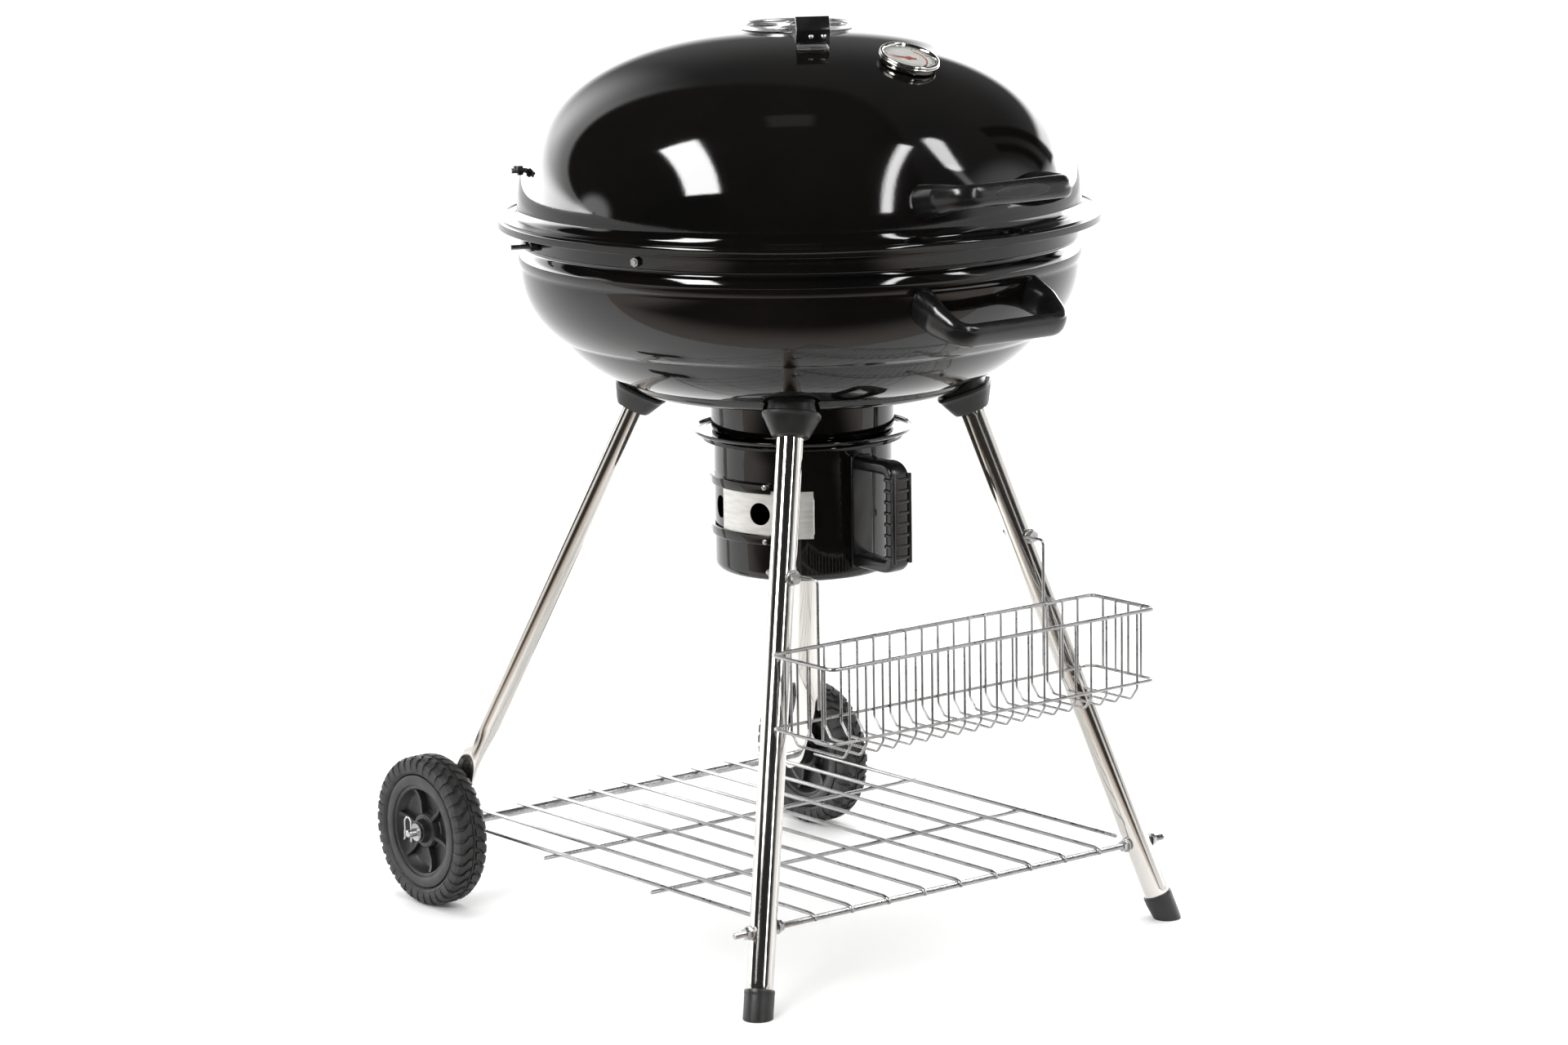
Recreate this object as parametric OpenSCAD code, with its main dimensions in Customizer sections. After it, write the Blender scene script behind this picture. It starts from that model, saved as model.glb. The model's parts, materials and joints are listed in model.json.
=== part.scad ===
// Kettle charcoal grill on four tube legs: an enamelled lid and bowl, two grates, a drop-off ash bucket
// with a sliding damper, a wire shelf, a hanging wire basket and two wheels.
// Z is up, the ground is z = 0, the handles face -Y and the wheels are at +Y.

/* [Kettle] */
// Outer radius of the lid where the dome meets its brim
dome_r = 273; // [230:1:330]
// Height of the dome above its brim
dome_h = 176; // [120:1:230]
// Roundness of the dome: 2 is an ellipse, higher is squarer
dome_power = 2.35; // [2:0.05:3]
// Width of the lid's brim beyond the dome
brim_w = 19.5; // [12:0.5:30]
// Depth of the brim's turned-down edge
brim_drop = 9; // [5:0.5:16]
// Steel thickness of the lid, the bowl and the ash parts
wall = 1.2; // [0.8:0.1:2]
// Height of the bowl's rim above the ground
rim_z = 706; // [600:1:850]
// Depth of the bowl from its rim to its bottom
bowl_depth = 171; // [140:1:210]
// How much smaller the bowl's neck is than the dome, on the radius
neck_inset = 2.5; // [2:0.1:6]
// Depth of the bowl's straight neck
neck_h = 47; // [40:1:60]
// Depth below the rim at which the grate ledge is pressed into the bowl
ledge_depth = 117; // [100:1:135]
// Inner radius of the grate ledge, outside the steel
ledge_r = 229; // [200:1:240]
// Width of the grate ledge
ledge_w = 7; // [5:0.5:12]
// Radius of the bowl's flat bottom
base_r = 168; // [150:1:190]

/* [Lid fittings] */
// Diameter of the thermometer's case
gauge_d = 58.5; // [45:0.5:70]
// Distance of the thermometer from the lid's axis
gauge_at = 164; // [140:1:185]
// Length of the thermometer's probe inside the lid
probe_l = 48; // [30:1:70]
// Diameter of the top damper
vent_d = 107; // [90:1:125]
// Diameter of each vent hole in the damper
vent_hole_d = 24; // [16:1:28]
// Distance of the vent holes from the axis
vent_hole_at = 31; // [26:1:34]
// How far the damper's tab reaches from the axis
tab_reach = 124; // [105:1:132]
// Angle of the damper's tab from the front, towards -X
tab_turn = 32; // [15:1:50]

/* [Handles] */
// Width across the loop of the lid and bowl handles
loop_w = 152; // [130:1:190]
// Distance from the shell to the outside of the grip
loop_reach = 56; // [48:1:75]
// Height of the loop's band
loop_h = 28; // [22:1:36]
// Thickness of the loop's band
loop_t = 14; // [10:0.5:18]
// Height of the lid handle above the brim
lid_loop_up = 36; // [28:1:60]
// Upward tilt of the lid handle
lid_loop_tilt = 9; // [0:1:20]
// Depth of the bowl handle below the rim
bowl_loop_down = 63; // [58:1:72]
// Downward tilt of the bowl handle
bowl_loop_tilt = 25; // [10:1:35]

/* [Grates] */
// Thickness of the cooking grate's ring
ring_d = 6; // [4:0.5:8]
// Thickness of the grate bars
bar_d = 4; // [3:0.5:6]
// Gap between the cooking grate and the bolt heads round it
grate_play = 3; // [1.5:0.5:6]
// Spacing of the cooking grate's bars
cook_pitch = 18; // [14:1:26]
// Spacing of the charcoal grate's bars
coal_pitch = 24; // [18:1:32]
// Depth of the cooking grate's rests below the rim
rest_depth = 36; // [28:1:44]
// Half of the angle between each side's two grate brackets
bracket_turn = 17; // [12:1:30]

/* [Ash bucket] */
// Outer radius of the neck under the bowl
ash_neck_r = 89.4; // [75:0.1:100]
// Height of the neck under the bowl
ash_neck_h = 42; // [30:1:55]
// Outer radius of the catcher ring
ash_ring_r = 108; // [100:1:125]
// Outer radius of the bucket
bucket_r = 87; // [70:1:98]
// Height of the bucket
bucket_h = 133; // [100:1:160]
// Diameter of each draught hole
draught_d = 22; // [14:1:26]
// Height of the draught holes above the bucket's bottom
draught_up = 66; // [56:1:76]
// Height of the sliding damper plate
plate_h = 46; // [36:1:56]
// Distance from the bucket to the outside of its handle
pail_reach = 62; // [50:1:75]
// Width of the bucket handle
pail_w = 24; // [18:1:32]
// Distance of the bucket handle's ends from the bucket's top and bottom
pail_margin = 11.5; // [9:0.5:16]

/* [Stand] */
// Diameter of the leg tubes
leg_d = 25.4; // [20:0.1:32]
// Wall of the leg tubes
leg_wall = 1.4; // [1:0.1:2.5]
// Sideways distance of the leg tops from the axis
leg_top_x = 111; // [95:1:125]
// Front to back distance of the leg tops from the axis
leg_top_y = 119; // [105:1:130]
// Sideways distance of the front feet from the axis
foot_x = 259; // [225:1:290]
// Front to back distance of the front feet from the axis
foot_y = 241; // [215:1:280]
// Diameter of a wheel
wheel_d = 152; // [125:1:185]
// Width of a wheel
wheel_w = 36; // [28:1:44]
// Distance between the wheels' middle planes
track = 496; // [450:1:580]
// Distance of the wheel axle behind the kettle's axis
axle_back = 297; // [265:1:340]
// Diameter of the wheel axle
axle_d = 8; // [6:0.5:12]
// Diameter of the black cap on each front foot
foot_cap_d = 28.5; // [26:0.5:36]
// Height of the black cap on each front foot
foot_cap_h = 26; // [18:1:36]

/* [Shelf and basket] */
// Thickness of the shelf wires
shelf_wire = 4; // [3:0.5:6]
// Number of wires across the shelf's width
shelf_count = 11; // [7:2:15]
// Spacing of the shelf wires
shelf_pitch = 45; // [34:1:46]
// Diameter of the threaded rod that carries the front of the shelf
rod_d = 6; // [5:0.5:8]
// Height of that rod
rod_z = 77; // [60:1:110]
// Length of the basket
basket_l = 404; // [360:1:440]
// Depth of the basket from front to back
basket_w = 90; // [70:1:120]
// Height of the basket's rim above the ground
basket_z = 328; // [300:1:350]
// Height of the basket
basket_h = 89; // [70:1:110]
// Spacing of the basket's cross wires
basket_pitch = 20; // [16:1:28]
// Height of the hook bolts above the ground
hook_z = 389; // [370:1:410]
// Thickness of the basket's wires
basket_wire = 3; // [2.5:0.1:4]

/* [Hidden] */

fit = 0.2;          // gap between pieces that are fastened together
gap = 0.4;          // gap between pieces that move past each other
run = 0.05;         // radial gap of a shaft in its bearing
round_fn = 96;
wire_fn = 8;        // sides of the thin straight wires

enamel = "#101012";
chrome = "#c9c7c2";
zinc = "#b9bcc0";
black_plastic = "#1b1b1d";
aluminium = "#b4b6b8";

brim_z = rim_z + gap + wall + 1;                 // top of the brim where it leaves the dome
brim_r = dome_r + brim_w;
neck_r = dome_r - neck_inset;
bowl_z = rim_z - bowl_depth;                     // underside of the bowl
ledge_z = rim_z - ledge_depth;
neck_in_r = neck_r - wall;
bolt_d = 5;
nut_h = 4;
wheel_r = wheel_d / 2;
ash_ring_z = bowl_z - ash_neck_h;
bucket_top = ash_ring_z - 3 - gap;
bucket_z = bucket_top - bucket_h;
draught_z = bucket_z + draught_up;
loop_grip_h = loop_h - 3;

// The dome is a superellipse, so its height and its slope at a radius are formulas.
function dome_z(r) = brim_z + dome_h * pow(1 - pow(r / dome_r, dome_power), 1 / dome_power);
function dome_at(z) = dome_r * pow(1 - pow((z - brim_z) / dome_h, dome_power), 1 / dome_power);
function dome_slope(r) = atan((dome_z(r - 1) - dome_z(r + 1)) / 2);

function unit(v) = v / norm(v);
function side(d) = [d[1], -d[0]];
function mean_side(p, i) = let(n = len(p), a = p[max(i - 1, 0)], b = p[min(i + 1, n - 1)]) side(unit(b - a));
// The same outline moved by w to the side that is inside when it runs outwards and down.
function inset(p, w) = [for (i = [0:len(p) - 1]) p[i] + w * mean_side(p, i)];
function reverse(p) = [for (i = [len(p) - 1:-1:0]) p[i]];
function skin(p, w) = concat(p, reverse(inset(p, w)));
// A curve from p to q that stands out by h at its middle, without its last point.
function bow(p, q, h, n) =
    [for (i = [0:n - 1]) let(t = i / n) p + t * (q - p) - 4 * h * t * (1 - t) * side(unit(q - p))];
function polar(r, a) = [r * cos(a), r * sin(a)];
function arc(c, r, from, to, n) = [for (i = [0:n]) c + polar(r, from + (to - from) * i / n)];

dome_hole_r = 3.2;
dome_steps = 40;
dome_line = concat(
    [for (i = [0:dome_steps - 1])
        let(t = i / dome_steps, r = dome_hole_r + (dome_at(brim_z + 6) - dome_hole_r) * sin(90 * t)) [r, dome_z(r)]],
    [[dome_at(brim_z + 6), brim_z + 6], [dome_r, brim_z + 2.4], [dome_r + 1.6, brim_z + 0.4]]);
brim_line = concat(
    bow([dome_r + 4, brim_z], [brim_r - 4, brim_z - 1], 0.4, 4),
    arc([brim_r - 3, brim_z - 4], 3, 75, 0, 5),
    [[brim_r, brim_z - brim_drop - 1]]);

bead_out = 2.6;
groove_in = 1.2;                                // depth of the groove above the bead
body_top = [neck_r, rim_z - neck_h];
ledge_top = [ledge_r + ledge_w, ledge_z + 2];
ledge_low = [ledge_r, ledge_z - 3];
base_edge = [base_r, bowl_z + 10];
bowl_line = concat(
    [[neck_r, rim_z - 2], [neck_r, rim_z - 22], [neck_r - groove_in, rim_z - 26], [neck_r - groove_in, rim_z - 28]],
    bow([neck_r, rim_z - 30], body_top, bead_out, 10),
    bow(body_top, ledge_top, 9, 16),
    bow(ledge_top, ledge_low, -0.6, 3),
    bow(ledge_low, base_edge, 6, 12),
    bow(base_edge, [base_r - 8, bowl_z + 2], 1.2, 4),
    [[base_r - 14, bowl_z + 1], [ash_neck_r, bowl_z]]);

module ring_of(p) {
    rotate_extrude($fn = round_fn) polygon(p);
}
// The space that the lid or the bowl fills, grown by g, for fitting a piece to its outside.
module lid_space(g) {
    ring_of(concat([[0, brim_z - 4], [0, brim_z + dome_h + g]], inset(dome_line, -g), [[dome_r + g, brim_z - 4]]));
}
module bowl_space(g) {
    ring_of(concat([[0, rim_z + 2], [neck_r + g, rim_z + 2]], inset(bowl_line, -g), [[0, bowl_z - g]]));
}

// Everything is drawn about the kettle's axis, and this moves it so that the frame's origin is
// on the ground in the middle of the whole grill.
lid_loop_z = brim_z + lid_loop_up;
lid_loop_r = dome_at(lid_loop_z);
front_reach = lid_loop_r + loop_reach * cos(lid_loop_tilt) + loop_grip_h / 2 * sin(lid_loop_tilt);
rear_reach = axle_back + wheel_r;
kettle_y = (front_reach - rear_reach) / 2;
module place() {
    translate([0, kettle_y, 0]) children();
}

module rod(p, q, d, fn = 24) {
    v = q - p;
    translate(p)
        rotate([0, acos(v[2] / norm(v)), atan2(v[1], v[0])])
        cylinder(d = d, h = norm(v), $fn = fn);
}
module tube_path(p, d, fn = 24) {
    for (i = [0:len(p) - 2]) rod(p[i], p[i + 1], d, fn);
    for (i = [1:len(p) - 2]) translate(p[i]) sphere(d = d, $fn = 16);
}
// A hexagon bolt or nut along +Z from z = 0.
module hex(across, h) {
    cylinder(d = across / cos(30), h = h, $fn = 6);
}

// ---- Lid ----
module gauge_place() {
    translate([0, -gauge_at, dome_z(gauge_at)]) rotate([dome_slope(gauge_at), 0, 0]) children();
}
module lid_loop_place() {
    translate([0, -lid_loop_r, lid_loop_z]) rotate([-lid_loop_tilt, 0, 0]) children();
}
module bowl_loop_place() {
    translate([0, -bowl_loop_r, rim_z - bowl_loop_down]) rotate([bowl_loop_tilt, 0, 0]) children();
}
bowl_loop_r = neck_r - 5;
loop_bolt_x = loop_w / 2 - loop_t / 2 - 2;
vent_z = brim_z + dome_h + gap;

module vent_holes() {
    for (a = [0:90:270]) rotate(a + 45) translate([vent_hole_at, 0, 0]) children();
}
hook_turn = 154;
hook_up = 48;
hook_drop = 22;
hook_r = dome_at(brim_z + hook_up);

module lid_shell() color(enamel) place() difference() {
    ring_of(skin(concat(dome_line, brim_line), wall));
    vent_holes() translate([0, 0, vent_z - 12]) cylinder(d = vent_hole_d - 2, h = 20, $fn = 48);
    gauge_place() translate([0, 0, -12]) cylinder(d = 10, h = 20, $fn = 32);
    lid_loop_place() for (x = [-1, 1])
        translate([x * loop_bolt_x, -10, 0]) rotate([-90, 0, 0]) cylinder(d = bolt_d + 0.4, h = 40, $fn = 32);
    rotate(hook_turn) translate([hook_r - 12, 0, brim_z + hook_up])
        rotate([0, 90, 0]) cylinder(d = bolt_d + 0.4, h = 20, $fn = 32);
}

// The loop handle's band in plan: arms at the shell, a rounded outer grip and a finger gap.
module loop_outline(reach, corner, half) {
    polygon(concat([[-half + 4, 20], [-half, -8]],
                   arc([-half + corner + 2, -reach + corner], corner, 180, 270, 8),
                   arc([half - corner - 2, -reach + corner], corner, 270, 360, 8),
                   [[half, -8], [half - 4, 20]]));
}
module loop_band() {
    difference() {
        union() {
            translate([0, 0, -loop_grip_h / 2]) linear_extrude(height = loop_grip_h)
                loop_outline(loop_reach, 26, loop_w / 2);
            intersection() {
                translate([0, 0, -loop_h / 2]) linear_extrude(height = loop_h)
                    loop_outline(loop_reach, 26, loop_w / 2);
                translate([-loop_w, -loop_reach * 0.55, -loop_h]) cube([2 * loop_w, 90, 2 * loop_h]);
            }
        }
        translate([0, 0, -loop_h]) linear_extrude(height = 2 * loop_h)
            loop_outline(loop_reach - loop_t + 3, 18, loop_w / 2 - loop_t);
        for (x = [-1, 1]) translate([x * loop_bolt_x, -loop_bolt_in, 0])
            rotate([-90, 0, 0]) cylinder(d = bolt_d + 2 * run, h = 60, $fn = 32);
    }
}
loop_bolt_in = 20;
module lid_handle() color(black_plastic) place() difference() {
    lid_loop_place() loop_band();
    lid_space(fit);
}
// A pan-head bolt that is put in from inside the shell, with its washer.
module loop_bolts() {
    for (x = [-1, 1]) translate([x * loop_bolt_x, 0, 0]) {
        translate([0, -loop_bolt_in + 1, 0]) rotate([-90, 0, 0]) cylinder(d = bolt_d, h = loop_bolt_in + 16, $fn = 32);
        translate([0, 16, 0]) rotate([-90, 0, 0]) cylinder(d = 12, h = 1.2, $fn = 32);
        translate([0, 17, 0]) rotate([-90, 0, 0]) cylinder(d = 9, h = 3, $fn = 32);
    }
}
module lid_handle_bolts() color(zinc) place() lid_loop_place() loop_bolts();

gauge_h = 9;
gauge_r = gauge_d / 2;
module thermometer_case() color(chrome) place() gauge_place() rotate_extrude($fn = round_fn)
    polygon([[3, fit], [gauge_r - 3, fit], [gauge_r - 1, 1.5], [gauge_r - 1, 5], [gauge_r, 5.6],
             [gauge_r, gauge_h - 1], [gauge_r - 1, gauge_h], [gauge_r - 3.4, gauge_h - 0.4],
             [gauge_r - 4.4, gauge_h - 2], [gauge_r - 3.2, gauge_h - 2], [gauge_r - 3.2, 1.6], [3, 1.6]]);
module thermometer_dial() color("#e9e7df") place() gauge_place() translate([0, 0, 3])
    difference() {
        cylinder(r = gauge_r - 3.2 - fit, h = 0.8, $fn = round_fn);
        translate([0, 0, -1]) cylinder(r = 1.2, h = 3, $fn = 24);
    }
module thermometer_needle() color("#c03020") place() gauge_place() translate([0, 0, 4]) rotate(150) {
    linear_extrude(height = 0.6) polygon([[-6, -1.3], [19, -0.4], [19, 0.4], [-6, 1.3]]);
    cylinder(r = 2.6, h = 1, $fn = 24);
}
module thermometer_lens() color([0.9, 0.95, 1, 0.35]) place() gauge_place()
    translate([0, 0, gauge_h - 3.6]) cylinder(r = gauge_r - 3.2 - fit, h = 1.2, $fn = round_fn);
module thermometer_probe() color(zinc) place() gauge_place() {
    translate([0, 0, -probe_l]) cylinder(d = 4, h = probe_l - 12, $fn = 32);
    translate([0, 0, -13]) cylinder(d = 5.6, h = 13 + 2.8, $fn = 32);
    translate([0, 0, 2]) cylinder(d = 2, h = 2 - fit, $fn = 24);
}
module thermometer_nut() color(zinc) place() gauge_place() translate([0, 0, -wall - 1 - nut_h]) difference() {
    hex(13, nut_h);
    translate([0, 0, -1]) cylinder(d = 5.6 + 2 * run, h = nut_h + 2, $fn = 32);
}

// The hook inside the lid hangs it on the bowl's peg while the food is served.
module lid_hook() color(zinc) place() rotate(hook_turn) {
    translate([hook_r - 14, 0, brim_z + hook_up]) rotate([0, 90, 0]) cylinder(d = bolt_d, h = 28, $fn = 32);
    translate([hook_r - 10, 0, brim_z + hook_up]) rotate([0, 90, 0]) cylinder(d = 13, h = 2, $fn = 32);
    translate([hook_r - 12.5, -6, brim_z + hook_up - hook_drop]) cube([2.5, 12, hook_drop + 8]);
    translate([hook_r - 30, -6, brim_z + hook_up - hook_drop]) cube([19, 12, 2.5]);
    translate([hook_r - 30, -6, brim_z + hook_up - hook_drop]) cube([2.5, 12, 12]);
}
// Two rounded wings on a threaded boss along +X.
module wingnut() {
    difference() {
        union() {
            rotate([0, 90, 0]) cylinder(d = 9, h = 5, $fn = 32);
            for (s = [-1, 1]) translate([1, 0, 0]) rotate([s * 12, 0, 0])
                translate([0, s > 0 ? 3.4 : -11.4, -1]) cube([6, 8, 2]);
        }
        translate([-1, 0, 0]) rotate([0, 90, 0]) cylinder(d = bolt_d + 2 * run, h = 12, $fn = 32);
    }
}
module lid_hook_wingnut() color(zinc) place() rotate(hook_turn)
    translate([hook_r + 3, 0, brim_z + hook_up]) wingnut();

module vent_rivet() color(aluminium) place() {
    translate([0, 0, vent_z - 7]) cylinder(d = 6, h = 7 + 2.2, $fn = 32);
    translate([0, 0, vent_z + 2]) cylinder(d1 = 12, d2 = 7, h = 2, $fn = 32);
    translate([0, 0, vent_z - 7]) cylinder(d = 12, h = 2, $fn = 32);
}

// ---- Top damper ----
tab_span = 15;
tab_line = [for (i = [0:10]) let(r = vent_d / 2 - 4 + (tab_reach - vent_d / 2 + 4) * i / 10) [r, dome_z(r) + gap + 0.9]];
module vent_damper() color(aluminium) place() difference() {
    union() {
        translate([0, 0, vent_z]) cylinder(d = vent_d, h = 1.6, $fn = round_fn);
        rotate_extrude($fn = round_fn)
            translate([vent_d / 2 - 3, vent_z]) square([3, 3.4]);
        rotate(270 - tab_turn - tab_span / 2) rotate_extrude(angle = tab_span, $fn = round_fn)
            polygon(concat(tab_line, reverse([for (p = tab_line) p + [0, 1.6]])));
    }
    vent_holes() translate([0, 0, vent_z - 3]) cylinder(d = vent_hole_d, h = 9, $fn = 48);
    translate([0, 0, vent_z - 3]) cylinder(d = 6 + 2 * run, h = 9, $fn = 48);
}
grip_r = tab_reach - 7;
grip_z = dome_z(grip_r) + gap + 0.9 + 1.6 + fit;
module grip_place() {
    rotate(270 - tab_turn) translate([grip_r, 0, grip_z]) children();
}
// The black tab is a bent plate: a foot on the arm, a lower part that leans out and an upper part
// that leans back.
module vent_grip() color(black_plastic) place() grip_place() difference() {
    rotate([90, 0, 0]) translate([0, 0, -16]) linear_extrude(height = 32)
        polygon([[-6, 3.2], [1, 0], [4, 0], [9, 15], [1, 27], [-2.4, 25], [5, 15], [1.6, 4.4], [-5, 6.2]]);
    for (s = [-1, 1]) translate([-6, s * 6 + 4, 8.4]) rotate([0, 90, 0]) cylinder(d = 3.2, h = 20, $fn = 24);
}
module vent_grip_rivets() color(zinc) place() grip_place() for (s = [-1, 1]) translate([0, s * 6 + 4, 8.4]) {
    translate([2, 0, 0]) rotate([0, 90, 0]) cylinder(d = 3, h = 6, $fn = 24);
    translate([7.9, 0, 0]) rotate([0, 90, 0]) cylinder(d = 5, h = 1.2, $fn = 24);
}

// ---- Bowl ----
module leg_axis(sx, sy) {
    top = [sx * leg_top_x, sy * leg_top_y, socket_z];
    low = sy < 0 ? [sx * foot_x, -foot_y, 0] : [sx * rear_low_x, axle_back, wheel_r];
    v = top - low;
    translate(top) rotate([0, acos(v[2] / norm(v)), atan2(v[1], v[0])]) children();
}
socket_z = bowl_z - 13;
module corners() {
    for (sx = [-1, 1], sy = [-1, 1]) leg_axis(sx, sy) children();
}
peg_z = rim_z - 17;
bracket_turns = [-bracket_turn, bracket_turn, 180 - bracket_turn, 180 + bracket_turn];

module bowl_shell() color(enamel) place() difference() {
    union() {
        ring_of(skin(bowl_line, wall));
        rotate_extrude($fn = round_fn) translate([neck_r - wall / 2 + 1.4, rim_z - 3]) circle(r = 3, $fn = 32);
    }
    bowl_loop_place() for (x = [-1, 1])
        translate([x * loop_bolt_x, -10, 0]) rotate([-90, 0, 0]) cylinder(d = bolt_d + 0.4, h = 60, $fn = 32);
    for (a = bracket_turns) rotate(a) translate([neck_r - 8, 0, peg_z])
        rotate([0, 90, 0]) cylinder(d = bolt_d + 0.4, h = 16, $fn = 32);
    corners() translate([0, 0, 2]) cylinder(d = 6.4, h = 40, $fn = 32);
}
module bowl_handle() color(black_plastic) place() difference() {
    bowl_loop_place() loop_band();
    bowl_space(fit);
}
module bowl_handle_bolts() color(zinc) place() bowl_loop_place() loop_bolts();

rest_z = rim_z - rest_depth;
bracket_w = 20;
bracket_t = 2;
head_h = 3;
// The brackets' flat backs fit inside the groove.
bracket_r = sqrt(pow(neck_in_r - groove_in, 2) - pow(bracket_w / 2, 2)) - fit;
head_in = bracket_r - bracket_t - fit - head_h;   // how close the bolt heads come to the axis
module grate_brackets() color(zinc) place() for (a = bracket_turns) rotate(a) difference() {
    union() {
        translate([bracket_r - bracket_t, -bracket_w / 2, rest_z - bracket_t]) cube([bracket_t, bracket_w, rest_depth - 8]);
        translate([bracket_r - 18, -bracket_w / 2, rest_z - bracket_t]) cube([18, bracket_w, bracket_t]);
    }
    translate([bracket_r - 5, 0, peg_z]) rotate([0, 90, 0]) cylinder(d = bolt_d + 2 * run, h = 10, $fn = 32);
}
// Three plain bolts and, at the fourth bracket, the longer peg that the lid hangs on.
module bracket_bolt(l) {
    translate([head_in, 0, peg_z]) rotate([0, 90, 0]) cylinder(d = 9, h = head_h, $fn = 32);
    translate([bracket_r - 4, 0, peg_z]) rotate([0, 90, 0]) cylinder(d = bolt_d, h = l, $fn = 32);
}
module grate_bracket_bolts() color(zinc) place() for (i = [0, 1, 3]) rotate(bracket_turns[i]) {
    bracket_bolt(12);
    translate([neck_r + 0.3, 0, peg_z]) rotate([0, 90, 0]) difference() {
        hex(8, nut_h);
        translate([0, 0, -1]) cylinder(d = bolt_d - 0.4, h = nut_h + 2, $fn = 32);
    }
}
module lid_peg() color(zinc) place() rotate(bracket_turns[2]) bracket_bolt(32);
module lid_peg_wingnut() color(zinc) place() rotate(bracket_turns[2])
    translate([neck_r + 1, 0, peg_z]) wingnut();

spigot_r = bucket_r - wall - gap;
spigot_l = pail_margin + 1.5;                   // ends above the heads of the handle's rivets
module ash_neck() color(enamel) place() ring_of([
    [ash_neck_r + 9, bowl_z - fit], [ash_neck_r + 9, bowl_z - fit - wall], [ash_neck_r, bowl_z - fit - wall],
    [ash_neck_r, ash_ring_z + wall + fit], [spigot_r, ash_ring_z + wall + fit],
    [spigot_r, bucket_top - spigot_l], [spigot_r - wall, bucket_top - spigot_l],
    [spigot_r - wall, ash_ring_z + 2 * wall + fit], [ash_neck_r - wall, ash_ring_z + 2 * wall + fit],
    [ash_neck_r - wall, bowl_z - fit]]);
module ash_ring() color(enamel) place() ring_of([
    [spigot_r + fit, ash_ring_z], [ash_ring_r - 5, ash_ring_z - 1.5], [ash_ring_r, ash_ring_z + 2],
    [ash_ring_r - 0.8, ash_ring_z + 3.2], [ash_ring_r - 5, ash_ring_z - 1.5 + wall], [spigot_r + fit, ash_ring_z + wall]]);

// ---- Stand ----
// Each rear tube is pressed flat near the wheel, and the axle goes through the flat end.
flat_t = 4;
foot_floor = 10;                                // height of the front tubes' ends above the ground
wheel_in_x = track / 2 - wheel_w / 2;
flat_x = wheel_in_x - 4 - flat_t;               // middle of the flat end
rear_low_x = wheel_in_x + 4.6;
rear_tube_z = wheel_d + 18;                     // where the tube starts to be pressed flat
flat_w = 34;
flat_top_z = wheel_r + 38;
function on_leg(sx, sy, z) = let(
    top = [sx * leg_top_x, sy * leg_top_y, socket_z],
    low = sy < 0 ? [sx * foot_x, -foot_y, 0] : [sx * rear_low_x, axle_back, wheel_r]
) top + (low - top) * (socket_z - z) / (socket_z - low[2]);
module leg_tube(sx, sy, z_low) {
    difference() {
        rod(on_leg(sx, sy, z_low), on_leg(sx, sy, socket_z + 8), leg_d, 48);
        rod(on_leg(sx, sy, z_low - 20), on_leg(sx, sy, socket_z + 30), leg_d - 2 * leg_wall, 48);
    }
}
module front_leg(sx) color(chrome) place() difference() {
    leg_tube(sx, -1, foot_floor);
    let(p = on_leg(sx, -1, rod_z)) rod(p - [leg_d, 0, 0], p + [leg_d, 0, 0], rod_d + 2 * run, 32);
    let(p = on_leg(sx, -1, hook_z)) rod(p - [0, leg_d, 0], p + [0, leg_d, 0], bolt_d + 2 * run, 32);
}
module leg_front_left() front_leg(-1);
module leg_front_right() front_leg(1);
// The pressed stretch narrows to the flat's thickness seen from the front, and widens seen from the side.
module pressed_end() {
    top = on_leg(1, 1, rear_tube_z);
    half = leg_d / 2;
    intersection() {
        translate([0, axle_back + flat_w, 0]) rotate([90, 0, 0]) linear_extrude(height = 3 * flat_w)
            polygon([[top[0] - half + 1, rear_tube_z + 6], [top[0] + half - 2, rear_tube_z - 2],
                     [flat_x + flat_t / 2, flat_top_z], [flat_x + flat_t / 2, wheel_r - 14],
                     [flat_x - flat_t / 2, wheel_r - 14], [flat_x - flat_t / 2, flat_top_z]]);
        translate([flat_x - 3 * flat_w, 0, 0]) rotate([90, 0, 90]) linear_extrude(height = 4 * flat_w)
            polygon([[top[1] - half + 1, rear_tube_z + 10], [top[1] + half - 1, rear_tube_z + 10],
                     [axle_back + flat_w / 2 - 6, flat_top_z], [axle_back + flat_w / 2, wheel_r + 8],
                     [axle_back + flat_w / 2 - 5, wheel_r - 14], [axle_back - flat_w / 2 + 5, wheel_r - 14],
                     [axle_back - flat_w / 2, wheel_r + 8], [axle_back - flat_w / 2 - 6, flat_top_z]]);
    }
}
module rear_leg() color(chrome) place() difference() {
    union() {
        leg_tube(1, 1, rear_tube_z);
        pressed_end();
    }
    rod([flat_x - 10, axle_back, wheel_r], [flat_x + 10, axle_back, wheel_r], axle_d + 0.2, 48);
}
module leg_rear_left() mirror([1, 0, 0]) rear_leg();
module leg_rear_right() rear_leg();

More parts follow.
